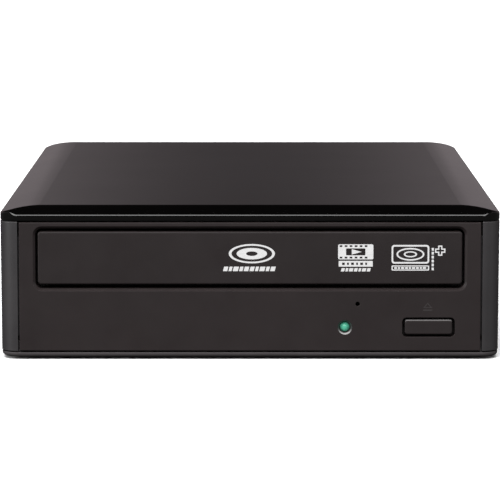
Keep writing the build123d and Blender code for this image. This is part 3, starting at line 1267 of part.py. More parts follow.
with BuildPart() as turntable:
    with BuildSketch(Plane.XZ.offset(-DISC_Y)):
        with BuildLine():
            Polyline(
                (0, HUB_TOP_Z - HUB_CAP_T),
                (SPINDLE_SHAFT_R + FIT, HUB_TOP_Z - HUB_CAP_T),
                (SPINDLE_SHAFT_R + FIT, PLATE_Z[1] + TABLE_GAP),
                (TABLE_FOOT_R, PLATE_Z[1] + TABLE_GAP),
                (TABLE_FOOT_R, TABLE_TOP_Z - TABLE_T),
                (TABLE_R, TABLE_TOP_Z - TABLE_T),
                (TABLE_R, TABLE_TOP_Z),
                (HUB_R, TABLE_TOP_Z),
                (HUB_R, HUB_TOP_Z - HUB_TAPER_H),
                (HUB_TIP_R, HUB_TOP_Z),
                (0, HUB_TOP_Z),
                close=True,
            )
        make_face()
    revolve(axis=Axis((0, DISC_Y, 0), (0, 0, 1)))
export(turntable, "turntable")

with BuildPart() as guide_rods:
    with BuildSketch(panel_plane(ROD_Y[1])):
        with Locations((-ROD_X, ROD_Z), (ROD_X, ROD_Z)):
            Circle(ROD_R)
    extrude(amount=ROD_Y[1] - ROD_Y[0])
export(guide_rods, "guide_rods")

with BuildPart() as sled_motor:
    with BuildSketch(panel_plane(SLED_MOTOR_Y)):
        with Locations((LEAD_X, LEAD_Z)):
            Circle(SLED_MOTOR_R)
    extrude(amount=SLED_MOTOR_L)
    with BuildSketch(Plane.XY.offset(LEAD_Z)):
        with Locations((LEAD_X, SLED_MOTOR_FOOT_Y)):
            Rectangle(*SLED_MOTOR_FOOT)
    extrude(amount=PLATE_Z[0] - LEAD_Z)
export(sled_motor, "sled_motor")

with BuildPart() as lead_screw:
    with BuildSketch(panel_plane(LEAD_Y[1])):
        with Locations((LEAD_X, LEAD_Z)):
            Circle(LEAD_R)
    extrude(amount=LEAD_Y[1] - LEAD_Y[0])
    # flats where a driver grips it, one at each end
    with BuildSketch(panel_plane(CLIP_REAR_Y[0] - GRIP_L / 2)):
        with Locations((LEAD_X, LEAD_Z + GRIP_OFF)):
            Rectangle(GRIP_W, 2 * LEAD_R)
    extrude(amount=GRIP_L, mode=Mode.SUBTRACT)
export(lead_screw, "lead_screw")

with BuildPart() as pickup_sled:
    sled_mid_y = sum(SLED_Y) / 2
    sled_len = SLED_Y[1] - SLED_Y[0]
    with BuildSketch(Plane.XY.offset(SLED_Z[0])):
        with Locations((0, sled_mid_y)):
            RectangleRounded(2 * SLED_HALF_W, sled_len, SLED_CORNER_R)
    extrude(amount=SLED_Z[1] - SLED_Z[0])
    with BuildSketch(Plane.XY.offset(SLED_Z[0] + ARM_UP)):
        with Locations((ROD_X - ARM_IN, sled_mid_y)):
            Rectangle(ARM_W, sled_len)
        with Locations((ARM_IN - ROD_X, sled_mid_y)):
            Rectangle(ARM_W, SHORT_ARM_L)
    extrude(amount=SLED_Z[1] - SLED_Z[0] - ARM_UP)
    with BuildSketch(Plane.XY.offset(LEAD_Z - LEAD_R - NUT_WALL_T)):
        with Locations(((ROD_X + LEAD_X + NUT_PAST + ARM_IN) / 2, sled_mid_y)):
            Rectangle(LEAD_X + NUT_PAST - ROD_X - ARM_IN, NUT_L)
    extrude(amount=2 * (LEAD_R + NUT_WALL_T))
    with BuildSketch(Plane.XY.offset(SLED_Z[1])):
        with Locations((0, sum(TOWER_Y) / 2)):
            RectangleRounded(TOWER_W, TOWER_Y[1] - TOWER_Y[0], TOWER_R)
    extrude(amount=TOWER_H)
    with BuildSketch(panel_plane(SLED_Y[1])):
        with Locations((-ROD_X, ROD_Z), (ROD_X, ROD_Z)):
            Circle(ROD_R + 2 * FIT)
        with Locations((LEAD_X, LEAD_Z)):
            Circle(LEAD_R + 2 * FIT)
    extrude(amount=sled_len, mode=Mode.SUBTRACT)
    with BuildSketch(Plane.XY.offset(SLED_Z[1] + TOWER_H)):
        with Locations((0, LENS_Y)):
            Circle(LENS_R + FIT)
    extrude(amount=-LENS_SEAT, mode=Mode.SUBTRACT)
export(pickup_sled, "pickup_sled")

with BuildPart() as objective_lens:
    with BuildSketch(Plane.XY.offset(SLED_Z[1] + TOWER_H - LENS_SEAT)):
        with Locations((0, LENS_Y)):
            Circle(LENS_R)
    extrude(amount=LENS_H)
    fillet(objective_lens.faces().sort_by(Axis.Z)[-1].edges(), radius=LENS_DOME_R)
export(objective_lens, "objective_lens")

# ---------------------------------------------------------------- drive: clamp
BRIDGE_Z = (WEB_TOP_Z, WEB_TOP_Z + 1.0)
BRIDGE_HALF_Y = 17.5
BRIDGE_HOLE_R = 12.8
PUCK_Z = 39.7
PUCK_NECK_R = 12.0
PUCK_R = 16.0
MAGNET_R = 9.0
MAGNET_HOLE_R = 4.0
MAGNET_T = 1.6
BRIDGE_GAP = 0.3
PUCK_RING_R = 8.0
PUCK_DISH = 1.4
PUCK_FLOOR = 2.4
PUCK_HEAD_IN = 0.6
PUCK_HEAD_H = 1.4

with BuildPart() as clamp_bridge:
    with BuildSketch(Plane.XY.offset(BRIDGE_Z[0])):
        with Locations((0, DISC_Y)):
            Rectangle(2 * WEB_X[1], 2 * BRIDGE_HALF_Y)
            Circle(BRIDGE_HOLE_R, mode=Mode.SUBTRACT)
    extrude(amount=BRIDGE_Z[1] - BRIDGE_Z[0])
export(clamp_bridge, "clamp_bridge")

with BuildPart() as clamp_puck:
    with BuildSketch(Plane.XZ.offset(-DISC_Y)):
        with BuildLine():
            Polyline(
                (0, PUCK_Z + PUCK_DISH),
                (PUCK_RING_R, PUCK_Z + PUCK_DISH),
                (PUCK_RING_R, PUCK_Z),
                (PUCK_R, PUCK_Z),
                (PUCK_R, BRIDGE_Z[0] - BRIDGE_GAP),
                (PUCK_NECK_R, BRIDGE_Z[0] - BRIDGE_GAP),
                (PUCK_NECK_R, BRIDGE_Z[1] + BRIDGE_GAP),
                (PUCK_R - PUCK_HEAD_IN, BRIDGE_Z[1] + BRIDGE_GAP),
                (PUCK_R - PUCK_HEAD_IN, BRIDGE_Z[1] + PUCK_HEAD_H),
                (MAGNET_R + FIT, BRIDGE_Z[1] + PUCK_HEAD_H),
                (MAGNET_R + FIT, PUCK_Z + PUCK_FLOOR),
                (0, PUCK_Z + PUCK_FLOOR),
                close=True,
            )
        make_face()
    revolve(axis=Axis((0, DISC_Y, 0), (0, 0, 1)))
export(clamp_puck, "clamp_puck")

with BuildPart() as clamp_magnet:
    with BuildSketch(Plane.XY.offset(PUCK_Z + PUCK_FLOOR)):
        with Locations((0, DISC_Y)):
            Circle(MAGNET_R)
            Circle(MAGNET_HOLE_R, mode=Mode.SUBTRACT)
    extrude(amount=MAGNET_T)
export(clamp_magnet, "clamp_magnet")

# ---------------------------------------------------------------- rear electronics
BRIDGE_BOARD_Y = (64.0, 113.0)
PLUG_X = (-33.0, 3.0)
PLUG_Y = (58.8, 70.0)
PLUG_TONGUE = (26.0, 1.8)
PORT_FRONT_Y = 104.0
PORT_BACK_Y = REAR_Y - 0.3
PORT_DEPTH = 9.5
PORT_MOUTH = ((-4.3, -3.9), (4.3, -3.9), (4.3, 2.2), (2.6, 3.9), (-2.6, 3.9), (-4.3, 2.2))
PORT_TONGUE = (5.6, 3.2)
BRIDGE_BOARD_W = 132.0
BRIDGE_BOARD_R = 1.5
POST_SCREW_REACH = 5.0
POST_HEAD_R = 2.2
BRIDGE_CHIP_AT = (18.0, 84.0)
BRIDGE_CHIP = (10.0, 10.0)
BRIDGE_SMALL_CHIPS_AT = ((-8.0, 92.0), (38.0, 84.0))
CRYSTAL_AT = (4.0, 80.0)
CRYSTAL = (3.6, 9.0)
CAPACITORS_AT = ((50.0, 92.0), (42.0, 96.0), (52.0, 76.0))
CAPACITOR_R = 3.15
CAPACITOR_H = 9.0
CAPACITOR_EDGE_R = 0.5
PLUG_STEP_Y = 65.0
PLUG_H = 4.6
JACK_SET_BACK = 0.2
JACK_BORE_R = 2.75
JACK_PIN_R = 1.0
JACK_DEPTH = 10.0

with BuildPart() as bridge_board:
    with BuildSketch(Plane.XY.offset(BOARD_Z)):
        with Locations((0, sum(BRIDGE_BOARD_Y) / 2)):
            RectangleRounded(BRIDGE_BOARD_W, BRIDGE_BOARD_Y[1] - BRIDGE_BOARD_Y[0], BRIDGE_BOARD_R)
        with Locations(*POST_AT):
            Circle(BOARD_HOLE_R, mode=Mode.SUBTRACT)
    extrude(amount=BOARD_TOP_Z - BOARD_Z)
export(bridge_board, "bridge_board")

with BuildPart() as board_screws:
    with BuildSketch(Plane.XY.offset(BOARD_Z - POST_SCREW_REACH)):
        with Locations(*POST_AT):
            Circle(BOARD_SCREW_R)
    extrude(amount=BOARD_TOP_Z - BOARD_Z + POST_SCREW_REACH)
    with BuildSketch(Plane.XY.offset(BOARD_TOP_Z)):
        with Locations(*POST_AT):
            Circle(POST_HEAD_R)
            RegularPolygon(SMALL_RECESS_R, 6, mode=Mode.SUBTRACT)
    extrude(amount=SMALL_HEAD_T)
export(board_screws, "board_screws")

with BuildPart() as bridge_chips:
    with BuildSketch(Plane.XY.offset(BOARD_TOP_Z)):
        with Locations(BRIDGE_CHIP_AT):
            Rectangle(*BRIDGE_CHIP)
        with Locations(*BRIDGE_SMALL_CHIPS_AT):
            Rectangle(*SMALL_CHIP)
        with Locations(CRYSTAL_AT):
            Rectangle(*CRYSTAL)
    extrude(amount=CHIP_T)
export(bridge_chips, "bridge_chips")

with BuildPart() as board_capacitors:
    with BuildSketch(Plane.XY.offset(BOARD_TOP_Z)):
        with Locations(*CAPACITORS_AT):
            Circle(CAPACITOR_R)
    extrude(amount=CAPACITOR_H)
    fillet(board_capacitors.faces().group_by(Axis.Z)[-1].edges(), radius=CAPACITOR_EDGE_R)
export(board_capacitors, "board_capacitors")

with BuildPart() as board_plug:
    with BuildSketch(Plane.XY.offset(BOARD_TOP_Z)):
        with Locations((sum(PLUG_X) / 2, (PLUG_STEP_Y + PLUG_Y[1]) / 2)):
            Rectangle(PLUG_X[1] - PLUG_X[0], PLUG_Y[1] - PLUG_STEP_Y)
    extrude(amount=PLUG_H)
    with BuildSketch(panel_plane(PLUG_STEP_Y)):
        with Locations((sum(PLUG_X) / 2, BOARD_TOP_Z + PLUG_H / 2)):
            Rectangle(PLUG_X[1] - PLUG_X[0], PLUG_H)
    extrude(amount=PLUG_STEP_Y - PLUG_Y[0])
    with BuildSketch(panel_plane(PLUG_Y[0])):
        with Locations((sum(SOCKET_X) / 2, sum(SOCKET_Z) / 2)):
            Rectangle(*PLUG_TONGUE)
    extrude(amount=PLUG_Y[0] - BLADE_Y[0])
export(board_plug, "board_plug")

with BuildPart() as usb_port:
    with BuildSketch(panel_plane(PORT_BACK_Y)):
        with Locations((USB_X, port_z)):
            Rectangle(*USB_SIZE)
    extrude(amount=PORT_BACK_Y - PORT_FRONT_Y)
    with BuildSketch(panel_plane(PORT_BACK_Y)):
        with Locations((USB_X, port_z)):
            Polygon(*PORT_MOUTH, align=None)
            Rectangle(*PORT_TONGUE, mode=Mode.SUBTRACT)
    extrude(amount=PORT_DEPTH, mode=Mode.SUBTRACT)
export(usb_port, "usb_port")

with BuildPart() as dc_jack:
    jack_z = BOARD_TOP_Z + JACK_SIZE[1] / 2
    with BuildSketch(panel_plane(REAR_BACK_Y - JACK_SET_BACK)):
        with Locations((JACK_X, jack_z)):
            Rectangle(*JACK_SIZE)
    extrude(amount=REAR_BACK_Y - JACK_SET_BACK - PORT_FRONT_Y)
    with BuildSketch(panel_plane(REAR_BACK_Y - JACK_SET_BACK)):
        with Locations((JACK_X, jack_z)):
            Circle(JACK_BORE_R)
            Circle(JACK_PIN_R, mode=Mode.SUBTRACT)
    extrude(amount=JACK_DEPTH, mode=Mode.SUBTRACT)
export(dc_jack, "dc_jack")

ROCKER_TILT = 6.0
ROCKER_FACE = 4.3
ROCKER_DISH = 0.5
ROCKER_BACK = 0.6
ROCKER_KEEL = 1.6
ROCKER_EDGE = 0.5
ROCKER_BACK_EDGE = 0.9
ROCKER_GAP = (0.4, 0.5)
SWITCH_DEPTH = 13.0
SWITCH_WELL = 7.5
SWITCH_BLADES_X = (-5.0, 5.0)
SWITCH_BLADE = (0.8, 7.0)
SWITCH_BLADE_T = 0.1
ROCKER_HALF_W = 7.0
ROCKER_HALF_H = 5.6
ROCKER_AXIS_Y = REAR_Y - 5.0
ROCKER_PIVOT_R = 1.0
ROCKER_PIVOT_BORE_R = ROCKER_PIVOT_R + FIT
ROCKER_PIVOT_HALF = 8.2
rocker_pivot_plane = Plane.YZ.offset(SWITCH_X - ROCKER_PIVOT_HALF)

with BuildPart() as power_switch:
    with BuildSketch(panel_plane(REAR_Y)):
        with Locations((SWITCH_X, SWITCH_Z)):
            Rectangle(*SWITCH_SIZE)
    extrude(amount=SWITCH_DEPTH)
    with BuildSketch(panel_plane(REAR_Y)):
        with Locations((SWITCH_X, SWITCH_Z)):
            Rectangle(2 * (ROCKER_HALF_W + ROCKER_GAP[0]), 2 * (ROCKER_HALF_H + ROCKER_GAP[1]))
    extrude(amount=SWITCH_WELL, mode=Mode.SUBTRACT)
    with BuildSketch(rocker_pivot_plane):
        with Locations((ROCKER_AXIS_Y, SWITCH_Z)):
            Circle(ROCKER_PIVOT_BORE_R)
    extrude(amount=2 * ROCKER_PIVOT_HALF, mode=Mode.SUBTRACT)
    with BuildSketch(Plane.XY.offset(SWITCH_Z - SWITCH_SIZE[1] / 2)):
        with Locations(*[(SWITCH_X + x, REAR_Y - SWITCH_DEPTH) for x in SWITCH_BLADES_X]):
            Rectangle(*SWITCH_BLADE)
    extrude(amount=SWITCH_BLADE_T)
export(power_switch, "power_switch")

with BuildPart() as power_rocker:
    with BuildSketch(Plane.YZ.offset(SWITCH_X - ROCKER_HALF_W)):
        with BuildLine():
            tilt = radians(ROCKER_TILT)
            corners = (
                (ROCKER_FACE, ROCKER_HALF_H - ROCKER_EDGE),
                (ROCKER_FACE - ROCKER_DISH, 0.0),
                (ROCKER_FACE, ROCKER_EDGE - ROCKER_HALF_H),
                (-ROCKER_BACK, ROCKER_BACK_EDGE - ROCKER_HALF_H),
                (-ROCKER_KEEL, 0.0),
                (-ROCKER_BACK, ROCKER_HALF_H - ROCKER_BACK_EDGE),
            )
            Polyline(
                *[
                    (
                        ROCKER_AXIS_Y + y * cos(tilt) - z * sin(tilt),
                        SWITCH_Z + y * sin(tilt) + z * cos(tilt),
                    )
                    for y, z in corners
                ],
                close=True,
            )
        make_face()
    extrude(amount=2 * ROCKER_HALF_W)
    with BuildSketch(rocker_pivot_plane.offset(FIT)):
        with Locations((ROCKER_AXIS_Y, SWITCH_Z)):
            Circle(ROCKER_PIVOT_R)
    extrude(amount=2 * (ROCKER_PIVOT_HALF - FIT))
export(power_rocker, "power_rocker")
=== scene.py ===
import json
import math

import bpy
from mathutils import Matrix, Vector


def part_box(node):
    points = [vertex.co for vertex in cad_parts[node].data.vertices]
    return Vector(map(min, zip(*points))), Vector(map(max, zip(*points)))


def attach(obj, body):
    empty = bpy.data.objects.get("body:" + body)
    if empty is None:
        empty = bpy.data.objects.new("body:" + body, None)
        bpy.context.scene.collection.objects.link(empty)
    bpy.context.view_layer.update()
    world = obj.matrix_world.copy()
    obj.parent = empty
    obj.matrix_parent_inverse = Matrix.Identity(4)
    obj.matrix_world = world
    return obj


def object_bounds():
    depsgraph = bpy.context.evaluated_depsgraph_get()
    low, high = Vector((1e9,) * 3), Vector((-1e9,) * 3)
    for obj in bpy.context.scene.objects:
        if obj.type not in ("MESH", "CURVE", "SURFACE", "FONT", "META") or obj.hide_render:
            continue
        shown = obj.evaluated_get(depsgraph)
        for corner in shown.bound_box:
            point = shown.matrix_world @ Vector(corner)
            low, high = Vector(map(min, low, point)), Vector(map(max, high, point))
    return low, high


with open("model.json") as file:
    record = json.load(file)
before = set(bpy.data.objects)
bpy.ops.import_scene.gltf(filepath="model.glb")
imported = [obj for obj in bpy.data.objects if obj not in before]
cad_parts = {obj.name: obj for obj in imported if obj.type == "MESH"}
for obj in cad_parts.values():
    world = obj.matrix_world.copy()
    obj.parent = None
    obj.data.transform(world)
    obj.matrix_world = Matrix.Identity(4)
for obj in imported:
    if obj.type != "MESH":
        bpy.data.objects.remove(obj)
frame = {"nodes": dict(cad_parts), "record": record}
cad_box = [list(corner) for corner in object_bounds()]
record = frame["record"]
scene = bpy.context.scene
scene.view_settings.view_transform = "Standard"

MM = 0.001
WHITE = (1.0, 1.0, 1.0, 1.0)

# ---------------------------------------------------------------- camera
CAMERA_Z = 0.165
CAMERA_FRONT_DISTANCE = 1.032  # from the part's foremost point
CAMERA_PITCH_DEG = 7.095  # below level
CAMERA_LENS_MM = 227.6
CAMERA_SENSOR_MM = 36.0
CAMERA_NEAR = 0.05
CAMERA_FAR = 60.0
front_y = cad_box[0][1]

camera_data = bpy.data.cameras.new("camera")
camera_data.lens = CAMERA_LENS_MM
camera_data.sensor_width = CAMERA_SENSOR_MM
camera_data.clip_start = CAMERA_NEAR
camera_data.clip_end = CAMERA_FAR
camera = bpy.data.objects.new("camera", camera_data)
camera.location = (0.0, front_y - CAMERA_FRONT_DISTANCE, CAMERA_Z)
camera.rotation_euler = (math.radians(90.0 - CAMERA_PITCH_DEG), 0.0, 0.0)
scene.collection.objects.link(camera)
scene.camera = camera

# ---------------------------------------------------------------- node trees
BEVEL_SAMPLES = 6
NOISE_LOW = 0.3  # a noise texture seldom leaves the band from here
NOISE_HIGH = 0.7  # to here
SHARP_DOT = 0.75  # how well the rounded and the true normal agree on an arris
FLAT_DOT = 0.995  # and on a flat
WALL_UP = 0.2  # how far up a surface faces where the painted highlight begins
LEDGE_UP = 0.7  # and where it is full
# A Mix node's colour sockets share their names with its other sockets, so they go by place.
MIX_AMOUNT = 0
MIX_FIRST = 6
MIX_SECOND = 7
MIX_RESULT = 2


def shade(color, factor):
    return tuple(min(1.0, c * factor) for c in color[:3]) + (1.0,)


class Tree:
    """Short calls for building the node tree of a material or of the world."""

    def __init__(self, owner):
        owner.use_nodes = True
        self.tree = owner.node_tree
        self.tree.nodes.clear()

    def new(self, kind, **settings):
        node = self.tree.nodes.new(kind)
        for key, value in settings.items():
            setattr(node, key, value)
        return node

    def link(self, source, target):
        self.tree.links.new(source, target)

    def fill(self, node, **sockets):
        """Set plain values on a node's inputs; an underscore stands for a space."""
        for key, value in sockets.items():
            node.inputs[key.replace("_", " ")].default_value = value

    def spread(self, source, low, high, source_low=0.0, source_high=1.0):
        """Map the source's range to low..high, and hold it there beyond the ends."""
        node = self.new("ShaderNodeMapRange")
        self.fill(node, From_Min=source_low, From_Max=source_high, To_Min=low, To_Max=high)
        self.link(source, node.inputs["Value"])
        return node.outputs["Result"]

    def math(self, operation, first, second):
        node = self.new("ShaderNodeMath", operation=operation)
        self.link(first, node.inputs[0])
        self.link(second, node.inputs[1])
        return node.outputs[0]

    def by_ray(self, seen, lit):
        """One shader for what the camera sees directly, another for the light and the reflections."""
        choose = self.new("ShaderNodeMixShader")
        ray = self.new("ShaderNodeLightPath")
        self.link(ray.outputs["Is Camera Ray"], choose.inputs[0])
        self.link(lit.outputs[0], choose.inputs[1])
        self.link(seen.outputs[0], choose.inputs[2])
        return choose.outputs[0]


class Surface(Tree):
    """The node tree of one surface: its shader, and textures laid in the piece's own coordinates."""

    def __init__(self, name):
        self.material = bpy.data.materials.new(name)
        super().__init__(self.material)
        output = self.new("ShaderNodeOutputMaterial")
        self.shader = self.new("ShaderNodeBsdfPrincipled")
        self.link(self.shader.outputs["BSDF"], output.inputs["Surface"])
        self.place = self.new("ShaderNodeTexCoord").outputs["Object"]

    def set(self, **sockets):
        self.fill(self.shader, **sockets)

    def feed(self, socket, source):
        self.link(source, self.shader.inputs[socket])

    def noise(self, scale, detail=4.0, roughness=0.6, stretch=(1.0, 1.0, 1.0)):
        mapping = self.new("ShaderNodeMapping")
        self.fill(mapping, Scale=stretch)
        self.link(self.place, mapping.inputs["Vector"])
        texture = self.new("ShaderNodeTexNoise")
        self.fill(texture, Scale=scale, Detail=detail, Roughness=roughness)
        self.link(mapping.outputs["Vector"], texture.inputs["Vector"])
        return texture.outputs["Fac"]

    def cells(self, scale):
        """Distance to the middle of the nearest cell of a Voronoi pattern."""
        texture = self.new("ShaderNodeTexVoronoi")
        self.fill(texture, Scale=scale)
        self.link(self.place, texture.inputs["Vector"])
        return texture.outputs["Distance"]

    def mix(self, amount, first, second):
        node = self.new("ShaderNodeMix", data_type="RGBA")
        for place, value in ((MIX_FIRST, first), (MIX_SECOND, second)):
            if isinstance(value, tuple):
                node.inputs[place].default_value = value
            else:
                self.link(value, node.inputs[place])
        self.link(amount, node.inputs[MIX_AMOUNT])
        return node.outputs[MIX_RESULT]

    def mottle(self, source, color, dark, light, low=NOISE_LOW, high=NOISE_HIGH):
        """A colour that drifts between a darker and a lighter shade of itself."""
        return self.mix(self.spread(source, 0.0, 1.0, low, high), shade(color, dark), shade(color, light))

    def gloss(self, source, smooth, rough, low=NOISE_LOW, high=NOISE_HIGH):
        """A roughness that drifts between two values."""
        self.feed("Roughness", self.spread(source, smooth, rough, low, high))

    def rounded_normal(self, radius):
        bevel = self.new("ShaderNodeBevel", samples=BEVEL_SAMPLES)
        self.fill(bevel, Radius=radius * MM)
        return bevel.outputs["Normal"]

    def edges(self, radius):
        """1 on arrises where a wider rounding turns the normal, 0 on flats."""
        dot = self.new("ShaderNodeVectorMath", operation="DOT_PRODUCT")
        self.link(self.rounded_normal(radius), dot.inputs[0])
        self.link(self.new("ShaderNodeNewGeometry").outputs["Normal"], dot.inputs[1])
        return self.spread(dot.outputs["Value"], 1.0, 0.0, SHARP_DOT, FLAT_DOT)

    def ledges(self, amount):
        """The amount on surfaces that face up, 0 on upright walls."""
        split = self.new("ShaderNodeSeparateXYZ")
        self.link(self.new("ShaderNodeNewGeometry").outputs["Normal"], split.inputs[0])
        return self.spread(split.outputs["Z"], 0.0, amount, WALL_UP, LEDGE_UP)

    def bump(self, height, strength, depth, rounding=0.0):
        """Relief of a depth in mm, over arrises softened by a rounding in mm."""
        node = self.new("ShaderNodeBump")
        self.fill(node, Strength=strength, Distance=depth * MM)
        self.link(height, node.inputs["Height"])
        if rounding:
            self.link(self.rounded_normal(rounding), node.inputs["Normal"])
        self.feed("Normal", node.outputs["Normal"])


# ---------------------------------------------------------------- materials
# Pale colour of the painted highlight laid on surfaces that face up
PAINTED_HIGHLIGHT = (0.30, 0.29, 0.29, 1.0)
MOTE = (0.10, 0.095, 0.09, 1.0)
COATING = (0.42, 0.40, 0.72, 1.0)
PIT_SCALE = 0.31  # of the grain's scale: the pits between the grains are wider
LAMP_GLOW = 0.11
LENS_IOR = 1.5
MOULDED_EDGE = 0.35  # how far wear reaches in from an arris, in mm
PLATED_EDGE = 0.3
MOULDED_ROUNDING = 0.2  # radius of an arris, in mm
PLATED_ROUNDING = 0.12


def moulded(name, color, rough, grain_scale=2600.0, grain_depth=0.02, grain_strength=0.35, level=0.4,
            wear=0.6, painted_highlight=0.0):
    """Moulded plastic: spark-eroded grain, cloudy gloss, pale specks, rubbed arrises, and where asked a
    painted highlight on surfaces that face up.
    """
    s = Surface(name)
    cloud = s.noise(38.0)
    grain = s.noise(grain_scale, detail=2.0, roughness=0.5)
    pits = s.noise(grain_scale * PIT_SCALE, detail=3.0)
    base = s.mottle(cloud, color, dark=0.88, light=1.14)
    speck = s.spread(grain, 0.0, 1.0, source_low=0.66, source_high=0.82)
    base = s.mix(s.spread(speck, 0.0, 0.30), base, shade(color, 2.3))
    base = s.mix(s.spread(s.edges(MOULDED_EDGE), 0.0, 0.45 * wear), base, shade(color, 2.6))
    # Painted highlight: a pale colour laid on surfaces by how far up they face
    if painted_highlight:
        base = s.mix(s.ledges(painted_highlight), base, PAINTED_HIGHLIGHT)
    s.feed("Base Color", base)
    s.gloss(s.noise(90.0, detail=5.0, roughness=0.65), smooth=rough - 0.05, rough=rough + 0.07)
    s.set(Specular_IOR_Level=level)
    s.bump(s.math("ADD", grain, pits), grain_strength, grain_depth, MOULDED_ROUNDING)
    return s.material


def glossy_lid(name, color, rough):
    """Piano-black lid: deep gloss with faint polishing marks, a breath of haze and a few dust motes."""
    s = Surface(name)
    haze = s.noise(24.0)
    marks = s.noise(420.0, roughness=0.7, stretch=(0.35, 5.0, 1.0))
    mote = s.spread(s.cells(420.0), 1.0, 0.0, source_low=0.02, source_high=0.05)
    base = s.mottle(haze, color, dark=0.9, light=1.15)
    s.feed("Base Color", s.mix(s.spread(mote, 0.0, 0.10), base, MOTE))
    s.gloss(s.math("ADD", haze, marks), smooth=rough, rough=rough + 0.05, low=0.7, high=1.3)
    s.set(Specular_IOR_Level=0.7)
    s.bump(marks, strength=0.015, depth=0.01)
    return s.material


def metal(name, color, rough, stretch=(1.0, 1.0, 1.0), spangle=0.0):
    """Plated or turned metal: drawn or spangled grain, uneven gloss, brighter arrises."""
    s = Surface(name)
    drawn = s.noise(900.0, roughness=0.65, stretch=stretch)
    base = s.mottle(s.noise(60.0), color, dark=0.82, light=1.1)
    if spangle:
        flakes = s.spread(s.cells(260.0), 0.0, spangle, source_high=0.6)
        base = s.mix(flakes, base, shade(color, 0.7))
    s.feed("Base Color", s.mix(s.spread(s.edges(PLATED_EDGE), 0.0, 0.5), base, shade(color, 1.4)))
    s.gloss(drawn, smooth=rough - 0.08, rough=rough + 0.12)
    s.set(Metallic=1.0)
    s.bump(drawn, strength=0.12, depth=0.01, rounding=PLATED_ROUNDING)
    return s.material


def rubber(name, color):
    """Rubber: dull, finely pitted, with a pale bloom where it is handled."""
    s = Surface(name)
    pits = s.noise(1800.0)
    bloom = s.spread(s.noise(120.0), 0.0, 0.5, source_low=0.4, source_high=0.75)
    s.feed("Base Color", s.mix(bloom, shade(color, 0.9), shade(color, 2.0)))
    s.gloss(pits, smooth=0.7, rough=0.9)
    s.set(Specular_IOR_Level=0.3)
    s.bump(pits, strength=0.4, depth=0.02, rounding=MOULDED_ROUNDING)
    return s.material


def circuit_board(name, color):
    """Green solder mask with darker bare bands between bright pour areas and fine track lines."""
    s = Surface(name)
    wave = s.new("ShaderNodeTexWave")
    s.fill(wave, Scale=330.0, Distortion=6.0, Detail_Scale=0.4)
    s.link(s.place, wave.inputs["Vector"])
    tracks = wave.outputs["Fac"]
    areas = s.noise(70.0, detail=1.0, roughness=0.4)
    lines = s.spread(tracks, 0.0, 0.55, source_low=0.55, source_high=0.65)
    base = s.mottle(areas, color, dark=0.75, light=1.25, low=0.45, high=0.5)
    s.feed("Base Color", s.mix(lines, base, shade(color, 1.7)))
    s.gloss(areas, smooth=0.28, rough=0.4, low=0.0, high=1.0)
    s.bump(tracks, strength=0.15, depth=0.02)
    return s.material


def lamp_resin(name, color):
    """Tinted clear lamp resin with slight flow lines, dimly lit from inside."""
    s = Surface(name)
    flow = s.noise(500.0, detail=3.0, stretch=(1.0, 0.4, 1.0))
    base = s.mottle(flow, color, dark=0.85, light=1.15)
    s.feed("Base Color", base)
    s.gloss(flow, smooth=0.10, rough=0.2)
    s.feed("Emission Color", base)
    s.set(Emission_Strength=LAMP_GLOW, Specular_IOR_Level=0.5)
    s.bump(flow, strength=0.05, depth=0.02)
    return s.material


def coated_lens(name, color):
    """Small coated glass lens: clear, with a faint blue-violet film."""
    s = Surface(name)
    film = s.noise(300.0, detail=2.0, roughness=0.5)
    s.feed("Base Color", s.mix(s.spread(film, 0.0, 1.0, NOISE_LOW, NOISE_HIGH), shade(color, 0.8), COATING))
    s.gloss(film, smooth=0.03, rough=0.08, low=0.0, high=1.0)
    s.set(Transmission_Weight=0.6, IOR=LENS_IOR)
    s.bump(film, strength=0.02, depth=0.01)
    return s.material


def printed(name, color):
    """Pad-printed ink: slightly uneven cover and a soft sheen."""
    s = Surface(name)
    cover = s.noise(2200.0)
    s.feed("Base Color", s.mottle(cover, color, dark=0.88, light=1.02))
    s.gloss(cover, smooth=0.42, rough=0.6)
    s.set(Specular_IOR_Level=0.3)
    s.bump(cover, strength=0.1, depth=0.01)
    return s.material


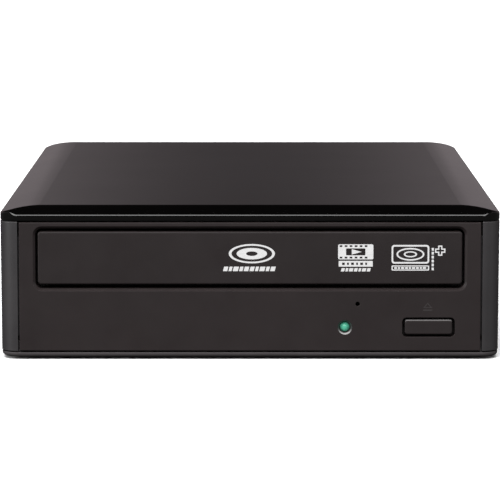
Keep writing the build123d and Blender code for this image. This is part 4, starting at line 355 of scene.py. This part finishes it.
front_grain = {"grain_scale": 3000.0, "grain_depth": 0.015, "grain_strength": 0.4, "level": 0.33}
side_grain = {"grain_scale": 2100.0, "grain_depth": 0.04, "grain_strength": 0.7, "level": 0.45}
base_grain = {"grain_scale": 2300.0, "grain_depth": 0.03, "grain_strength": 0.6, "level": 0.45}
tray_grain = {"grain_scale": 2200.0, "grain_depth": 0.03, "grain_strength": 0.45}
gear_grain = {"grain_scale": 1800.0, "grain_depth": 0.015, "grain_strength": 0.25, "level": 0.5, "wear": 0.3}
finishes = {
    "lid_gloss": glossy_lid("lid_gloss", (0.0009, 0.0008, 0.0008), rough=0.09),
    "side_plastic": moulded("side_plastic", (0.0275, 0.0258, 0.0270), rough=0.46, **side_grain),
    "front_plastic": moulded("front_plastic", (0.0155, 0.0114, 0.0116), rough=0.50, **front_grain),
    "door_plastic": moulded("door_plastic", (0.0145, 0.0110, 0.0112), rough=0.48, **front_grain),
    # The button's finish paints a highlight on its upper edge
    "button_plastic": moulded("button_plastic", (0.0155, 0.0120, 0.0122), 0.46, painted_highlight=0.42, **front_grain),
    # The collar's colour, paler than the panel and paler still where it faces up, is a painted highlight
    "collar_plastic": moulded("collar_plastic", (0.05, 0.048, 0.05), rough=0.4, painted_highlight=0.9),
    "base_plastic": moulded("base_plastic", (0.057, 0.052, 0.054), rough=0.5, **base_grain),
    "foot_rubber": rubber("foot_rubber", (0.022, 0.022, 0.023)),
    "zinc_steel": metal("zinc_steel", (0.52, 0.53, 0.54), rough=0.34, spangle=0.5),
    "screw_steel": metal("screw_steel", (0.30, 0.30, 0.31), rough=0.36),
    "tray_plastic": moulded("tray_plastic", (0.022, 0.022, 0.0235), rough=0.5, **tray_grain),
    "chassis_plastic": moulded("chassis_plastic", (0.020, 0.020, 0.021), rough=0.55),
    "gear_plastic": moulded("gear_plastic", (0.62, 0.61, 0.56), rough=0.42, **gear_grain),
    "board_green": circuit_board("board_green", (0.012, 0.085, 0.038)),
    "chip_black": moulded("chip_black", (0.014, 0.014, 0.015), rough=0.6),
    "connector_black": moulded("connector_black", (0.014, 0.014, 0.015), rough=0.45),
    "port_shell": metal("port_shell", (0.60, 0.60, 0.61), rough=0.28, stretch=(1.0, 6.0, 1.0)),
    "led_green": lamp_resin("led_green", (0.075, 0.38, 0.25)),
    "belt_rubber": rubber("belt_rubber", (0.014, 0.014, 0.015)),
    "grommet_rubber": rubber("grommet_rubber", (0.05, 0.045, 0.04)),
    "rod_steel": metal("rod_steel", (0.62, 0.62, 0.63), rough=0.16, stretch=(8.0, 0.5, 8.0)),
    "lens_glass": coated_lens("lens_glass", (0.45, 0.52, 0.66)),
    "puck_plastic": moulded("puck_plastic", (0.03, 0.03, 0.032), rough=0.4),
    "magnet_steel": metal("magnet_steel", (0.26, 0.26, 0.27), rough=0.5),
    "cap_can": metal("cap_can", (0.10, 0.11, 0.16), rough=0.4),
    "white_ink": printed("white_ink", (0.66, 0.66, 0.66)),
    "dim_ink": printed("dim_ink", (0.036, 0.032, 0.032)),
}
for subpart in record["subparts"]:
    for material_slot in frame["nodes"][subpart["node"]].material_slots:
        material_slot.material = finishes[subpart["material_slot"]]
# The button is moulded like the front, but a painted highlight lies on its upper edge, so it has a finish of
# its own.
for material_slot in frame["nodes"]["eject_button"].material_slots:
    material_slot.material = finishes["button_plastic"]


# ---------------------------------------------------------------- outlines of marks, in mm
CURVE_STEPS = 48
CORNER_STEPS = 6


def ellipse(x, z, half_w, half_h):
    angles = [2 * math.pi * i / CURVE_STEPS for i in range(CURVE_STEPS)]
    return [(x + half_w * math.cos(angle), z + half_h * math.sin(angle)) for angle in angles]


def box(left, right, low, high, slant=0.0):
    """Corner points of a bar; slant shifts its top to the right."""
    return [(left, low), (right, low), (right + slant, high), (left + slant, high)]


def rounded(left, right, low, high, radius):
    """Outline of a rectangle with rounded corners."""
    centres = (
        (right - radius, low + radius), (right - radius, high - radius),
        (left + radius, high - radius), (left + radius, low + radius),
    )
    points = []
    for corner, (x, z) in enumerate(centres):
        for step in range(CORNER_STEPS + 1):
            angle = math.radians(-90.0 + 90.0 * corner + 90.0 * step / CORNER_STEPS)
            points.append((x + radius * math.cos(angle), z + radius * math.sin(angle)))
    return points


def dashes(left, right, low, high, widths, gap, slant=0.0):
    """A row of short bars that stands in for small print: widths repeat until the row is full."""
    bars = []
    x = left
    index = 0
    while x + widths[index % len(widths)] <= right:
        width = widths[index % len(widths)]
        bars.append(box(x, x + width, low, high, slant))
        x += width + gap
        index += 1
    return bars


def plus(x, z, arm, half_w):
    """Outline of a plus sign."""
    quarter = [(half_w, -half_w), (arm, -half_w), (arm, half_w)]
    points = []
    for c, d in ((1, 0), (0, 1), (-1, 0), (0, -1)):
        points += [(x + c * u - d * v, z + d * u + c * v) for u, v in quarter]
    return points


# ---------------------------------------------------------------- printed marks
# Places on the front, in mm. An area is (left, right, low, high), and a ring (half width, half height).
INK_T = 0.02  # the printed film

DISC_MIDDLE = (0.6, 35.3)
DISC_RINGS = ((7.6, 3.2), (6.7, 2.65), (5.0, 1.9), (1.9, 0.75))
DISC_CAPTION = (-8.9, 9.0, 29.5, 31.0)
DISC_CAPTION_DASHES = (1.4, 1.0, 1.7, 1.1, 1.5)

FILM_FRAME = (29.0, 40.6, 33.4, 38.4)
FILM_WINDOW = (31.6, 38.0, 34.75, 37.05)
FILM_TRIANGLE = [(33.5, 35.0), (36.7, 35.9), (33.5, 36.8)]
FILM_HOLE_ROWS = ((29.5, 40.2, 33.7, 34.3), (29.5, 40.2, 37.5, 38.1))
FILM_LABEL = (29.2, 40.4, 31.0, 32.9)
FILM_LABEL_ROW = (30.3, 39.6, 31.55, 32.35)
FILM_CAPTION = (29.9, 39.9, 29.4, 30.5)
FILM_CAPTION_DASHES = (1.1, 0.8, 1.3)

BOXED_FRAME = (46.6, 59.0, 32.0, 38.2)
BOXED_WINDOW = (47.15, 58.45, 32.55, 37.65)
BOXED_MIDDLE = (52.8, 35.1)
BOXED_RINGS = ((4.6, 2.1), (4.05, 1.62), (2.2, 1.0), (1.65, 0.6))
BOXED_LABEL = (46.6, 59.0, 29.7, 31.4)
BOXED_LABEL_WINDOW = (47.0, 58.6, 30.05, 31.05)
BOXED_LABEL_ROW = (47.5, 58.2, 30.25, 30.85)
BOXED_LABEL_DASHES = (0.9, 0.7, 1.1)
TICK_LEFT = 59.8
TICK_RIGHT = 60.5
TICK_LOWS = (29.8, 31.1, 32.4, 33.7, 35.0, 36.3)
TICK_HEIGHT = 0.9
PLUS_MIDDLE = (62.6, 36.3)
PLUS_SIZES = ((1.7, 0.7), (1.3, 0.3))  # arm and half width, outside and inside its line

EJECT_X = 58.6
EJECT_TRIANGLES = ((1.5, 17.3, 19.0), (0.95, 17.52, 18.62))  # half width, foot and tip, outside and inside
EJECT_BAR_HALF_W = 1.5
EJECT_BAR = (16.35, 16.75)


def flat_mark(name, outlines, y, body, material):
    """A printed mark that faces the front. An outline inside another is a hole in it, and so on inward."""
    curve = bpy.data.curves.new(name, "CURVE")
    curve.dimensions = "2D"
    curve.fill_mode = "BOTH"
    curve.extrude = INK_T * MM / 2
    for points in outlines:
        spline = curve.splines.new("POLY")
        spline.points.add(len(points) - 1)
        for point, (x, z) in zip(spline.points, points):
            point.co = (x * MM, z * MM, 0.0, 1.0)
        spline.use_cyclic_u = True
    holder = bpy.data.objects.new(name + "_curve", curve)
    holder.rotation_euler = (math.radians(90.0), 0.0, 0.0)
    holder.location = (0.0, y, 0.0)
    scene.collection.objects.link(holder)
    bpy.context.view_layer.update()
    filled = holder.evaluated_get(bpy.context.evaluated_depsgraph_get())
    mesh = bpy.data.meshes.new_from_object(filled)
    mesh.transform(holder.matrix_world)
    bpy.data.objects.remove(holder)
    mark = bpy.data.objects.new(name, mesh)
    mesh.materials.clear()
    mesh.materials.append(material)
    scene.collection.objects.link(mark)
    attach(mark, body)


def disc_outlines():
    """A disc over a row of slanted dashes."""
    outlines = [ellipse(*DISC_MIDDLE, *ring) for ring in DISC_RINGS]
    return outlines + dashes(*DISC_CAPTION, DISC_CAPTION_DASHES, gap=0.4, slant=0.4)


def film_outlines():
    """A film frame with its holes and a triangle, over a label and a row of slanted dashes."""
    outlines = [rounded(*FILM_FRAME, radius=0.5), rounded(*FILM_WINDOW, radius=0.3), FILM_TRIANGLE]
    for row in FILM_HOLE_ROWS:
        outlines += dashes(*row, widths=(0.9,), gap=0.75)
    outlines += [rounded(*FILM_LABEL, radius=0.2)]
    outlines += dashes(*FILM_LABEL_ROW, widths=(0.9, 0.6), gap=0.75)
    return outlines + dashes(*FILM_CAPTION, FILM_CAPTION_DASHES, gap=0.35, slant=0.3)


def boxed_outlines():
    """A disc in a box with a column of ticks and a plus at its side, over a boxed row of dashes."""
    outlines = [rounded(*BOXED_FRAME, radius=0.9), rounded(*BOXED_WINDOW, radius=0.5)]
    outlines += [ellipse(*BOXED_MIDDLE, *ring) for ring in BOXED_RINGS]
    outlines += [rounded(*BOXED_LABEL, radius=0.4), rounded(*BOXED_LABEL_WINDOW, radius=0.2)]
    outlines += dashes(*BOXED_LABEL_ROW, BOXED_LABEL_DASHES, gap=0.3)
    outlines += [box(TICK_LEFT, TICK_RIGHT, low, low + TICK_HEIGHT) for low in TICK_LOWS]
    return outlines + [plus(*PLUS_MIDDLE, *size) for size in PLUS_SIZES]


def eject_outlines():
    """A triangle drawn as a thin line, over a bar."""
    outlines = [
        [(EJECT_X - half_w, foot), (EJECT_X + half_w, foot), (EJECT_X, tip)]
        for half_w, foot, tip in EJECT_TRIANGLES
    ]
    return outlines + [box(EJECT_X - EJECT_BAR_HALF_W, EJECT_X + EJECT_BAR_HALF_W, *EJECT_BAR)]


door_ink_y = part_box("tray_door")[0][1] - INK_T * MM / 2
panel_ink_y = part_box("front_panel")[0][1] - INK_T * MM / 2
flat_mark("disc_mark", disc_outlines(), door_ink_y, "tray", finishes["white_ink"])
flat_mark("film_mark", film_outlines(), door_ink_y, "tray", finishes["white_ink"])
flat_mark("boxed_mark", boxed_outlines(), door_ink_y, "tray", finishes["white_ink"])
flat_mark("eject_symbol", eject_outlines(), panel_ink_y, "case", finishes["dim_ink"])

# ---------------------------------------------------------------- lamp collar: a sheet that carries a painted highlight
COLLAR_MOUTH = (2.36, 0.01)  # radius, and how far behind the panel's front, in mm
COLLAR_THROAT = (1.95, 0.74)


def lamp_collar():
    """A lining of the lamp's conical seat, just clear of the panel's own surface: paler than the panel as a
    painted highlight, and paler still on its lower, upward-facing part.
    """
    low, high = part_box("status_led")
    x = (low[0] + high[0]) / 2
    z = (low[2] + high[2]) / 2
    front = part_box("front_panel")[0][1]
    points = []
    for radius, depth in (COLLAR_MOUTH, COLLAR_THROAT):
        points += [(u, front + depth * MM, v) for u, v in ellipse(x, z, radius * MM, radius * MM)]
    steps = CURVE_STEPS
    faces = [(i, (i + 1) % steps, steps + (i + 1) % steps, steps + i) for i in range(steps)]
    mesh = bpy.data.meshes.new("lamp_collar")
    mesh.from_pydata(points, [], faces)
    mesh.materials.append(finishes["collar_plastic"])
    collar = bpy.data.objects.new("lamp_collar", mesh)
    scene.collection.objects.link(collar)
    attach(collar, "case")


lamp_collar()

# ---------------------------------------------------------------- floor
FLOOR_HALF = 14.0
FLOOR_SEEN = (0.90, 0.90, 0.90, 1.0)
FLOOR_LIT = (0.04, 0.04, 0.04, 1.0)


def studio_floor():
    """A level sweep of floor. It is seen pale, and throws back little light, as a small table does."""
    material = bpy.data.materials.new("floor")
    tree = Tree(material)
    seen = tree.new("ShaderNodeBsdfDiffuse")
    tree.fill(seen, Color=FLOOR_SEEN)
    lit = tree.new("ShaderNodeBsdfDiffuse")
    tree.fill(lit, Color=FLOOR_LIT)
    tree.link(tree.by_ray(seen, lit), tree.new("ShaderNodeOutputMaterial").inputs["Surface"])
    half = FLOOR_HALF
    corners = [(-half, -half, 0), (half, -half, 0), (half, half, 0), (-half, half, 0)]
    mesh = bpy.data.meshes.new("floor")
    mesh.from_pydata(corners, [], [(0, 1, 2, 3)])
    mesh.materials.append(material)
    sweep = bpy.data.objects.new("floor", mesh)
    scene.collection.objects.link(sweep)


studio_floor()


# ---------------------------------------------------------------- lights
def aim(lamp, place, target):
    lamp.location = place
    lamp.rotation_euler = (Vector(target) - Vector(place)).to_track_quat("-Z", "Y").to_euler()
    scene.collection.objects.link(lamp)


def softbox(name, place, target, width, height, power, mirrored=True):
    """A rectangular light that the camera doesn't see, and gloss mirrors unless told not to."""
    data = bpy.data.lights.new(name, "AREA")
    data.shape = "RECTANGLE"
    data.size = width
    data.size_y = height
    data.energy = power
    lamp = bpy.data.objects.new(name, data)
    lamp.visible_camera = False
    lamp.visible_glossy = mirrored
    aim(lamp, place, target)


def sky(name, place, strength, spread_deg):
    """A wide even light from far above, which keeps the floor evenly pale."""
    data = bpy.data.lights.new(name, "SUN")
    data.energy = strength
    data.angle = math.radians(spread_deg)
    lamp = bpy.data.objects.new(name, data)
    lamp.visible_glossy = False
    aim(lamp, place, (0.0, 0.0, 0.0))


sky("overhead", place=(-0.25, -0.8, 2.0), strength=3.9, spread_deg=40.0)
softbox("front_box", place=(-0.2, -2.2, 1.35), target=(0.0, -0.1, 0.04), width=2.2, height=1.4, power=46.0)
softbox("left_box", place=(-1.45, -0.7, 0.5), target=(-0.08, -0.1, 0.03), width=0.5, height=0.7, power=13.5)
softbox("right_box", place=(1.6, -0.7, 0.5), target=(0.08, -0.1, 0.03), width=0.5, height=0.7, power=4.7)
softbox(
    "rear_box", place=(0.3, 2.6, 1.5), target=(0.0, 0.1, 0.03), width=1.6, height=0.8, power=55.0,
    mirrored=False,
)

# ---------------------------------------------------------------- room
ROOM_TINT = (1.0, 0.88, 0.915, 1.0)
ROOM_MIDDLE = 0.075  # light straight ahead or behind
ROOM_SIDE = 0.24  # light toward the sides
ROOM_SIDE_AT = 0.09  # how far off the middle a direction is when the room is fully light
ROOM_OVERHEAD = 0.05  # share of the light left overhead
ROOM_DIMS_AT = 0.1  # how far up a direction is when the light begins to fall off
ROOM_OVERHEAD_AT = 0.5  # and when only the overhead share is left


def studio_room():
    """The room that the gloss mirrors: lighter toward its two sides, darker overhead. It is seen white."""
    world = bpy.data.worlds.new("world")
    scene.world = world
    room = Tree(world)
    split = room.new("ShaderNodeSeparateXYZ")
    room.link(room.new("ShaderNodeTexCoord").outputs["Generated"], split.inputs[0])
    off_middle = room.math("MULTIPLY", split.outputs["X"], split.outputs["X"])
    sides = room.spread(off_middle, ROOM_MIDDLE, ROOM_SIDE, 0.0, ROOM_SIDE_AT**2)
    height = room.spread(split.outputs["Z"], 1.0, ROOM_OVERHEAD, ROOM_DIMS_AT, ROOM_OVERHEAD_AT)
    lit = room.new("ShaderNodeBackground")
    room.fill(lit, Color=ROOM_TINT)
    room.link(room.math("MULTIPLY", sides, height), lit.inputs["Strength"])
    seen = room.new("ShaderNodeBackground")
    room.fill(seen, Color=WHITE)
    room.link(room.by_ray(seen, lit), room.new("ShaderNodeOutputWorld").inputs["Surface"])


studio_room()
